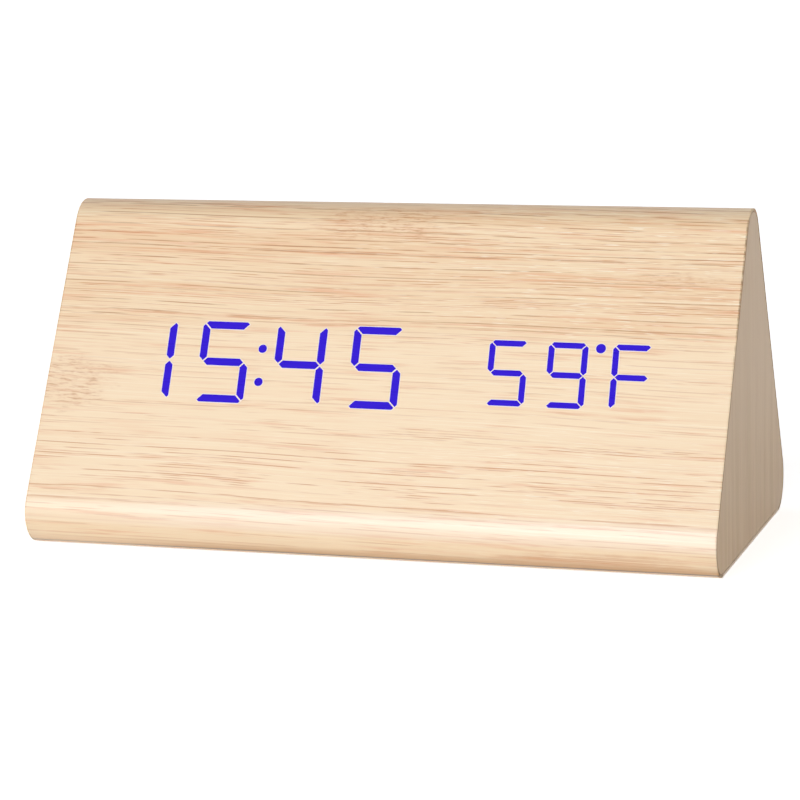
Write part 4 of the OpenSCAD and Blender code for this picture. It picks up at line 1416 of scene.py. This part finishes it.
@dataclass
class Display(Assembly):
    """The lit figures with their pale rims, and what lies behind them."""

    time_digit: DigitSize = DigitSize(11.2, 18.3, 1.7, 0.3)
    temp_digit: DigitSize = DigitSize(8.45, 14.4, 1.3, 0.2)
    time_pitch: float = 17.1
    temp_pitch: float = 12.65
    unit_pitch: float = 13.65
    row_width: float = 116.0
    row_shift: float = 0.3
    row_lift: float = -0.35
    row_turn: float = math.radians(-0.36)
    tilt: float = math.tan(math.radians(-1.8))
    corner_cut: float = 0.45
    colon_width: float = 1.9
    colon_pitch: float = 7.5
    colon_lift: float = -0.45
    degree_width: float = 2.1
    dot_sides: int = 40
    rim: float = 0.16
    rim_top: float = 0.8
    rim_height: float = 0.012
    rim_step: float = 0.004
    rim_levels: int = 3
    shown_time: str = "1545"
    shown_temperature: str = "59F"
    lit_bars: dict[str, str] = field(
        default_factory=lambda: {"1": "bc", "5": "afgcd", "4": "fgbc", "9": "abcdfg", "F": "aefg"}
    )

    def bar(self, name: str, size: DigitSize) -> list[Point]:
        """Find the corners of one bar of a digit, before the lean.

        Args:
            name: The bar's letter, from a at the top round to g in the middle.
            size: The digit's size.

        Returns:
            The corners.
        """
        w, h, t, cut = size.width, size.height, size.bar, self.corner_cut
        miter = size.gap / math.sqrt(2)
        x, y = w / 2 - miter, h / 2
        end = [
            (t - x, y - t), (cut - x, y - cut), (2 * cut - x, y),
            (x - 2 * cut, y), (x - cut, y - cut), (x - t, y - t),
        ]
        middle = [
            (t / 2 - x, 0), (t - x, t / 2), (x - t, t / 2),
            (x - t / 2, 0), (x - t, -t / 2), (t - x, -t / 2),
        ]
        x, y = w / 2, h / 2 - miter
        side = [
            (x - t, y - t), (x - cut, y - cut), (x, y - 2 * cut),
            (x, miter + t / 2), (x - t / 2, miter), (x - t, miter + t / 2),
        ]
        corners, flip = {
            "a": (end, Flip.NONE), "b": (side, Flip.NONE), "c": (side, Flip.DOWN), "d": (end, Flip.DOWN),
            "e": (side, Flip.BOTH), "f": (side, Flip.LEFT), "g": (middle, Flip.NONE),
        }[name]
        across, up = flip.value
        return [(px * across, py * up) for px, py in corners]

    def leaned(self, outline: Sequence[Point], x: float) -> list[Point]:
        """Put the row's lean into an outline and move it to its digit's place.

        Args:
            outline: The outline.
            x: The digit's place along the row.

        Returns:
            The moved outline, turning left.
        """
        moved = [(px + py * self.tilt + x, py) for px, py in outline]
        pairs = zip(moved, moved[1:] + moved[:1])
        area = sum(a[0] * b[1] - b[0] * a[1] for a, b in pairs)
        return moved if area > 0 else moved[::-1]

    def dot(self, width: float, x: float, y: float) -> list[Point]:
        """Outline of a round dot at a place of the row, moved by the row's lean."""
        at = x + y * self.tilt
        return [(px + at, py + y) for px, py in Sculpt.ring(width / 2, self.dot_sides)]

    def figures(self, shown: str, size: DigitSize, places: Sequence[float]) -> list[list[Point]]:
        """Outlines of all lit bars of some figures."""
        return [
            self.leaned(self.bar(name, size), x)
            for figure, x in zip(shown, places)
            for name in self.lit_bars[figure]
        ]

    def on_row(self, right: float, up: float, out: float) -> Vector:
        """Find a point of the row, which is turned a little on the slope.

        Args:
            right: Distance to the right of the row's middle.
            up: Distance above it.
            out: Distance out of the slope.

        Returns:
            The point in metres.
        """
        c, s = math.cos(self.row_turn), math.sin(self.row_turn)
        return CASE.front(right * c - up * s + self.row_shift, right * s + up * c + self.row_lift, out)

    def rims(self, outlines: Sequence[Sequence[Point]]) -> Shape:
        """Lay pale rims round outlines, as thin closed rings on the film.

        Args:
            outlines: The outlines of the lit bars and dots.

        Returns:
            The rims' points and faces.
        """
        shapes = []
        for number, outline in enumerate(outlines):
            top = self.rim_height + number % self.rim_levels * self.rim_step
            wide, narrower = (Sculpt.grown(outline, reach) for reach in (self.rim, self.rim * self.rim_top))
            levels = ((outline, 0.0), (wide, 0.0), (narrower, top), (outline, top))
            loops = [[self.on_row(px, py, out) for px, py in loop] for loop, out in levels]
            shapes.append(Sculpt.frame_slab(loops))
        return Sculpt.merge(shapes)

    def build(self) -> None:
        """Make the pale rims of the time and of the temperature."""
        left, right = -self.row_width / 2, self.row_width / 2
        first_at = left + self.time_digit.width / 2
        time_at = [first_at + i * self.time_pitch for i in range(len(self.shown_time))]
        unit_at = right - self.temp_digit.width / 2
        temp_at = [unit_at - self.unit_pitch - self.temp_pitch, unit_at - self.unit_pitch, unit_at]
        colon_at = (time_at[1] + time_at[2]) / 2
        colon = [
            self.dot(self.colon_width, colon_at, self.colon_lift + way * self.colon_pitch / 2)
            for way in (-1, 1)
        ]
        degree_lift = (self.temp_digit.height - self.degree_width) / 2
        degree = self.dot(self.degree_width, (temp_at[1] + temp_at[2]) / 2, degree_lift)
        halo = Halo("spilled_light")
        time_bars = self.figures(self.shown_time, self.time_digit, time_at)
        temp_bars = self.figures(self.shown_temperature, self.temp_digit, temp_at)
        Sculpt.piece("time_glow_rims", self.rims(time_bars + colon), halo, "case", "lit_blue")
        Sculpt.piece("temperature_glow_rims", self.rims([*temp_bars, degree]), halo, "case", "lit_blue")

    def finishes(self) -> dict[Finish, tuple[str, ...]]:
        """The solids that each finish dresses."""
        return {
            Glow("lit_bars"): ("lit_time", "lit_temperature"),
            Moulded("milky_film", colour=(0.78, 0.79, 0.80), sheen=Sheen.SATIN, mottle=0.04): (
                "diffuser_film",
            ),
            Moulded("white_moulding", colour=(0.80, 0.80, 0.78), mottle=0.05): (
                "digit_reflector", "board_spacers",
            ),
            Chip("lamp_chip"): ("led_chips",),
            Circuit("display_circuit"): ("display_board",),
            Plated("board_screw"): ("display_screws", "main_board_screws"),
        }


class KeyMark(Enum):
    """Kind of raised mark on a key."""

    SET = "ring"
    UP = "point up"
    DOWN = "point down"


@dataclass
class Keys(Assembly):
    """The three keys on the back, with a raised mark on each, and their switches."""

    places: dict[str, tuple[float, KeyMark]] = field(default_factory=lambda: {
        "set": (6.0, KeyMark.SET), "up": (20.0, KeyMark.UP), "down": (34.0, KeyMark.DOWN),
    })
    lift: float = 3.0
    out: float = 1.2
    mark_width: float = 2.4
    mark_height: float = 0.14
    mark_taper: float = 0.06
    ring_width: float = 0.45
    ring_sides: int = 48
    point_tall: float = 0.84

    def mark(self, kind: KeyMark, right: float) -> Shape:
        """Raise a mark on the outer face of a key.

        Args:
            kind: The mark.
            right: The key's place along the back, seen from behind.

        Returns:
            The closed mark's points and faces.
        """
        low, high = self.out - self.mark_height / 2, self.out + self.mark_height
        half, taper = self.mark_width / 2, self.mark_taper

        def at(outline: Sequence[Point], out: float) -> list[Vector]:
            """The outline on the back slope."""
            return [CASE.back(right + px, self.lift + py, out) for px, py in outline]

        if kind is KeyMark.SET:
            inner = half - self.ring_width
            loops = ((inner, low), (half, low), (half - taper, high), (inner + taper, high))
            return Sculpt.frame_slab([at(Sculpt.ring(r, self.ring_sides), out) for r, out in loops])
        up = 1 if kind is KeyMark.UP else -1
        tall = half * self.point_tall * up
        corners = [(-half, -tall), (half, -tall), (0.0, tall)][::up]
        return Sculpt.slab(at(corners, low), at(Sculpt.grown(corners, -taper), high))

    def build(self) -> None:
        """Make the mark of each key."""
        paint = Moulded("key_mark", colour=(0.62, 0.62, 0.60), sheen=Sheen.SATIN, mottle=0.05, edge=0.05)
        for name, (right, kind) in self.places.items():
            Sculpt.piece(f"{name}_key_mark", self.mark(kind, right), paint, f"{name}_key", "key_black")

    def finishes(self) -> dict[Finish, tuple[str, ...]]:
        """The solids that each finish dresses."""
        return {
            Moulded("key_moulding", colour=(0.022, 0.022, 0.024), sheen=Sheen.SATIN): (
                "set_button", "up_button", "down_button",
            ),
            Moulded("plunger_moulding", colour=(0.26, 0.26, 0.27), sheen=Sheen.SATIN): (
                "set_plunger", "up_plunger", "down_plunger",
            ),
            Moulded("switch_moulding", colour=(0.02, 0.02, 0.021)): ("switch_bodies",),
        }


@dataclass
class MainBoard(Assembly):
    """The board behind the back slope with its components and the power socket."""

    def finishes(self) -> dict[Finish, tuple[str, ...]]:
        """The solids that each finish dresses."""
        return {
            Circuit("main_circuit", tilt=-1.0): ("main_board",),
            Moulded("chip_resin", colour=(0.018, 0.018, 0.019), edge=0.1): ("clock_chip", "driver_chip"),
            Moulded("buzzer_case", colour=(0.016, 0.016, 0.017), sheen=Sheen.SATIN): ("buzzer",),
            Moulded("capacitor_sleeve", colour=(0.012, 0.02, 0.06), sheen=Sheen.GLOSSY): (
                "smoothing_capacitor",
            ),
            Moulded("dipped_bead", colour=(0.09, 0.022, 0.012), sheen=Sheen.GLOSSY): ("thermistor",),
            Moulded("rubber_boot", colour=(0.025, 0.025, 0.025), mottle=0.1): ("microphone_boot",),
            Moulded("socket_moulding", colour=(0.02, 0.02, 0.021), sheen=Sheen.SATIN): ("power_jack",),
            Moulded("connector_moulding", colour=(0.74, 0.72, 0.66), sheen=Sheen.SATIN, mottle=0.05): (
                "ribbon_headers", "lead_connector",
            ),
            Plated("drawn_can", colour=(0.72, 0.72, 0.72), cloud=(0.55, 0.55, 0.55)): (
                "crystal", "microphone",
            ),
            Plated("brass_pin", colour=(0.80, 0.60, 0.27), cloud=(0.62, 0.43, 0.17), rough=0.24): (
                "jack_pin",
            ),
        }


@dataclass(frozen=True)
class Lead:
    """A battery lead: its name, its side along X, its colour and the record's slot for that."""

    name: str
    side: int
    colour: Colour
    slot: str


@dataclass
class Wiring(Assembly):
    """The flat cable between the boards and the two battery leads."""

    ribbon_radius: float = 18.0
    ribbon_width: float = 12.0
    ribbon_thick: float = 0.9
    ribbon_steps: int = 28
    strands: int = 10
    strand_steps: int = 6
    strand_dip: float = 0.45
    header_height: float = 4.0
    board_depth: float = 8.2
    main_depth: float = 14.6
    lead_width: float = 1.3
    lead_bow: float = 6.0
    lead_steps: int = 40
    lead_sides: int = 16
    lead_pitch: float = 2.5
    tag: Size = (25.2, 11.3, 17.4)
    connector_lift: float = -3.0
    connector_out: float = 5.0
    leads: tuple[Lead, ...] = (
        Lead("positive", 1, (0.42, 0.015, 0.015), "lead_red"),
        Lead("negative", -1, (0.018, 0.018, 0.018), "lead_black"),
    )

    def apex(self, front_depth: float, back_depth: float) -> Vector:
        """Find where planes behind the two slopes meet.

        Args:
            front_depth: Depth of the one behind the front slope.
            back_depth: Depth of the one behind the back slope.

        Returns:
            Y and Z of the line where they meet.
        """
        c, s = CASE.grade
        offset = (CASE.half / 2 + CASE.edge * s) * s + (CASE.edge + CASE.rise / 2 + CASE.edge * c) * c
        return Vector((
            (front_depth - back_depth) / (2 * s),
            (2 * offset - front_depth - back_depth) / (2 * c),
        ))

    def ribbon(self) -> Shape:
        """Bend a flat cable of joined round strands round the line where the boards' planes meet.

        Returns:
            Its points and faces.
        """
        c, s = CASE.grade
        centre = self.apex(self.board_depth, self.main_depth)
        start = self.apex(self.board_depth + self.header_height, self.main_depth + self.header_height)
        from_centre = start - centre
        angles = []
        for across in (-c, c):
            way = Vector((across, -s))
            along = from_centre.dot(way)
            reach = math.sqrt(along ** 2 - from_centre.length_squared + self.ribbon_radius ** 2) - along
            end = start + way * reach - centre
            angles.append(math.atan2(end.y, end.x))
        path = []
        for i in range(self.ribbon_steps + 1):
            angle = angles[0] + (angles[1] - angles[0]) * i / self.ribbon_steps
            spot = centre + Vector((math.cos(angle), math.sin(angle))) * self.ribbon_radius
            path.append(Vector((0.0, spot.x, spot.y)) * MM)
        pitch, dip, steps = self.ribbon_width / self.strands, self.strand_dip, self.strand_steps
        upper = []
        for i in range(self.strands * steps + 1):
            x = -self.ribbon_width / 2 + i * pitch / steps
            swell = dip + (1 - dip) * abs(math.sin(math.pi * i / steps))
            upper.append((x * MM, swell * self.ribbon_thick / 2 * MM))
        outline = upper + [(x, -y) for x, y in reversed(upper)]
        return Sculpt.sweep(path, outline[::-1])

    def lead(self, lead: Lead) -> Shape:
        """Lead a wire from its solder tag to the connector.

        Args:
            lead: The lead.

        Returns:
            Its points and faces.
        """
        c, s = CASE.grade
        x, y, z = self.tag
        tag = Vector((lead.side * x, lead.side * y, z))
        right = -lead.side * self.lead_pitch / 2
        socket = CASE.back(right, self.connector_lift, -self.main_depth - self.connector_out) / MM
        inward = Vector((0, -s, -c))
        first, last = tag + Z_AXIS * self.lead_width, socket + inward * self.lead_width
        knots = [first, first + Z_AXIS * self.lead_bow, last + inward * self.lead_bow, last]
        path = [tag]
        for i in range(self.lead_steps + 1):
            t = i / self.lead_steps
            shares = ((1 - t) ** 3, 3 * (1 - t) ** 2 * t, 3 * (1 - t) * t * t, t ** 3)
            path.append(sum((knot * share for knot, share in zip(knots, shares)), start=Vector()))
        path.append(socket)
        return Sculpt.wire([p * MM for p in path], self.lead_width, self.lead_sides)

    def build(self) -> None:
        """Make the cable and the leads, which stand for their plainer solids."""
        cable = Sculpt.piece(
            "ribbon_strands", self.ribbon(), Strands("flat_cable"), "case", "ribbon_grey", smooth=True
        )
        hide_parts("ribbon_cable")
        for lead in self.leads:
            sleeve = Moulded(f"{lead.name}_sleeve", colour=lead.colour, sheen=Sheen.SATIN, mottle=0.1)
            wire = Sculpt.piece(
                f"{lead.name}_wire", self.lead(lead), sleeve, "case", lead.slot, smooth=True
            )
            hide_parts(f"{lead.name}_lead")


@dataclass
class Base(Assembly):
    """The plate under the clock with its battery bay, cells, contacts and door."""

    cell_rows: tuple[float, ...] = (-11.3, 0.0, 11.3)
    cell_height: float = 8.35
    bay_half: float = 25.4
    plate_thick: float = 0.4
    spring_wide: float = 7.0
    spring_tip: float = 4.6
    spring_long: float = 4.9
    spring_turns: int = 3
    spring_seat: float = 0.05
    wire: float = 0.6
    wire_sides: int = 10
    steps: int = 28
    door_face: float = 0.4
    arrow_at: float = 2.0
    arrow_long: float = 9.0
    arrow_neck: float = 3.6
    arrow_wide: float = 6.0
    arrow_shaft: float = 2.0
    arrow_high: float = 0.16

    def coil(self, row: float, way: int) -> Shape:
        """Wind the tapering spring on the contact plate at one end of a cell.

        Args:
            row: Y of the cell's axis.
            way: The end's side along X.

        Returns:
            Its points and faces.
        """
        path = []
        count = self.spring_turns * self.steps
        low = self.wire / 2 + self.spring_seat
        for i in range(count + 1):
            t = i / count
            radius = (self.spring_wide - self.wire) / 2 + t * (self.spring_tip - self.spring_wide) / 2
            angle = 2 * math.pi * i / self.steps
            rise = low + t * (self.spring_long - 2 * low)
            spot = Vector((
                way * (self.bay_half - self.plate_thick - rise),
                row + radius * math.sin(angle),
                self.cell_height + way * radius * math.cos(angle),
            ))
            path.append(spot * MM)
        return Sculpt.wire(path, self.wire, self.wire_sides)

    def arrow(self) -> Shape:
        """Raise an arrow on the outer face of the door, pointing at its latch.

        Returns:
            Its points and faces.
        """
        wide, shaft = self.arrow_wide / 2, self.arrow_shaft / 2
        tail, neck, tip = self.arrow_at, self.arrow_at + self.arrow_neck, self.arrow_at + self.arrow_long
        outline = [
            (tail, shaft), (neck, shaft), (neck, wide), (tip, 0.0),
            (neck, -wide), (neck, -shaft), (tail, -shaft),
        ]
        lower, upper = (
            [Vector((x, y, z)) * MM for x, y in outline]
            for z in (self.door_face + self.arrow_high / 2, self.door_face - self.arrow_high)
        )
        return Sculpt.slab(lower, upper)

    def build(self) -> None:
        """Make the springs, which stand for their plainer solids, and the mark on the door."""
        coils = [self.coil(row, -1 if i % 2 == 0 else 1) for i, row in enumerate(self.cell_rows)]
        springs = Sculpt.piece(
            "spring_coils", Sculpt.merge(coils), Plated("spring_wire", rough=0.22), "case", "contact_plate",
            smooth=True,
        )
        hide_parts("contact_springs")
        Sculpt.piece("door_arrow", self.arrow(), self.moulding(), "door", "base_plastic")

    def moulding(self) -> Finish:
        """The plastic of the plate and of the door."""
        return Moulded("base_moulding", colour=(0.026, 0.026, 0.028))

    def finishes(self) -> dict[Finish, tuple[str, ...]]:
        """The solids that each finish dresses."""
        return {
            self.moulding(): ("base_plate", "battery_door"),
            Plated("base_screw", colour=(0.56, 0.55, 0.52)): ("base_screws",),
            Label("cell_label"): ("battery_cells",),
            Plated("contact_plating", colour=(0.70, 0.68, 0.62), cloud=(0.56, 0.53, 0.46)): (
                "contact_plates",
            ),
        }


@dataclass(frozen=True)
class Lamp:
    """A large soft lamp: its place round the clock and its spread in degrees, and its level."""

    name: str
    azimuth: float
    elevation: float
    spread: float
    level: float


@dataclass
class Studio:
    """Pale floor, soft light and the camera at the photograph's angle."""

    frame_pixels: float = 800.0
    focal_pixels: float = 2810.65
    sensor: float = 36.0
    near: float = 0.01
    far: float = 50.0
    azimuth: float = 17.586
    elevation: float = 10.024
    distance: float = 613.45
    target: Size = (-2.591, 0.0, 27.839)
    roll: float = -1.032
    floor_reach: float = 6.0
    floor_drop: float = 0.02
    floor_colour: float = 0.90
    floor_lift: float = 0.72
    ambient: float = 0.14
    lamps: tuple[Lamp, ...] = (
        Lamp("key", -18.0, 27.0, 26.0, 1.10),
        Lamp("low_front", 4.0, 9.0, 22.0, 1.43),
        Lamp("rear_right", 142.0, 15.0, 30.0, 0.56),
        Lamp("rear_left", 232.0, 14.0, 30.0, 0.95),
    )

    @staticmethod
    def toward(azimuth: float, elevation: float) -> Vector:
        """Direction from the clock to a place round it, from angles in degrees."""
        a, e = math.radians(azimuth), math.radians(elevation)
        return Vector((math.sin(a) * math.cos(e), -math.cos(a) * math.cos(e), math.sin(e)))

    def camera(self) -> None:
        """Set the camera where the photograph was taken from."""
        back = self.toward(self.azimuth, self.elevation)
        right = (-back).cross(Z_AXIS).normalized()
        up = right.cross(-back)
        turn = math.radians(self.roll)
        across = right * math.cos(turn) + up * math.sin(turn)
        upward = up * math.cos(turn) - right * math.sin(turn)
        data = bpy.data.cameras.new("camera")
        data.sensor_width = self.sensor
        data.lens = self.focal_pixels / self.frame_pixels * self.sensor
        data.clip_start, data.clip_end = self.near, self.far
        made = add_object("camera", data)
        spot = (Vector(self.target) + back * self.distance) * MM
        made.matrix_world = Matrix.Translation(spot) @ Matrix((across, upward, back)).transposed().to_4x4()
        bpy.context.scene.camera = made

    @staticmethod
    def seen_directly(graph: Graph) -> Signal:
        """Tell what the camera sees from what lights the object.

        Args:
            graph: The graph that reads the light's path.

        Returns:
            One for what is seen, also in gloss and through glass, and nought for the rest.
        """
        path = graph.node("ShaderNodeLightPath")
        camera, glossy, through = (
            Signal(graph, path.outputs[f"Is {name} Ray"]) for name in ("Camera", "Glossy", "Transmission")
        )
        return camera.at_least(glossy).at_least(through)

    def floor(self) -> None:
        """Lay the floor, which is white where no shadow falls."""
        material = bpy.data.materials.new("pale_floor")
        graph = Graph(material)
        glow = graph.tint((0.0, 0.0, 0.0), (self.floor_lift,) * 3, self.seen_directly(graph))
        graph.surface(
            Base_Color=(self.floor_colour,) * 3,
            Roughness=1.0,
            Specular_IOR_Level=0.0,
            Emission_Color=glow,
            Emission_Strength=1.0,
        )
        reach, drop = self.floor_reach, -self.floor_drop * MM
        mesh = bpy.data.meshes.new("floor")
        corners = [(x * reach, y * reach, drop) for x, y in ((-1, -1), (1, -1), (1, 1), (-1, 1))]
        mesh.from_pydata(corners, [], [(0, 1, 2, 3)])
        mesh.materials.append(material)
        add_object("floor", mesh)

    def light(self) -> None:
        """Hang the soft lamps and fill the rest of the room with even light."""
        room = bpy.data.worlds.new("room")
        bpy.context.scene.world = room
        graph = Graph(room, "Background")
        graph.surface(Color=(1.0, 1.0, 1.0), Strength=self.seen_directly(graph).lifted(self.ambient))
        for lamp in self.lamps:
            data = bpy.data.lights.new(lamp.name, "SUN")
            data.energy, data.angle = lamp.level, math.radians(lamp.spread)
            way = self.toward(lamp.azimuth, lamp.elevation)
            made = add_object(lamp.name, data)
            made.rotation_mode = "QUATERNION"
            made.rotation_quaternion = way.to_track_quat("Z", "Y")
            made.location = way

    def build(self) -> None:
        """Set the studio up."""
        bpy.context.scene.view_settings.view_transform = "Standard"
        self.camera()
        self.floor()
        self.light()


def main() -> None:
    """Build and dress every part of the clock, then set the studio round it."""
    logging.basicConfig(level=logging.INFO, format="%(message)s")
    for part in (Case(), Display(), Keys(), MainBoard(), Wiring(), Base()):
        part.build()
        part.dress()
    Studio().build()


if __name__ == "__main__":
    main()
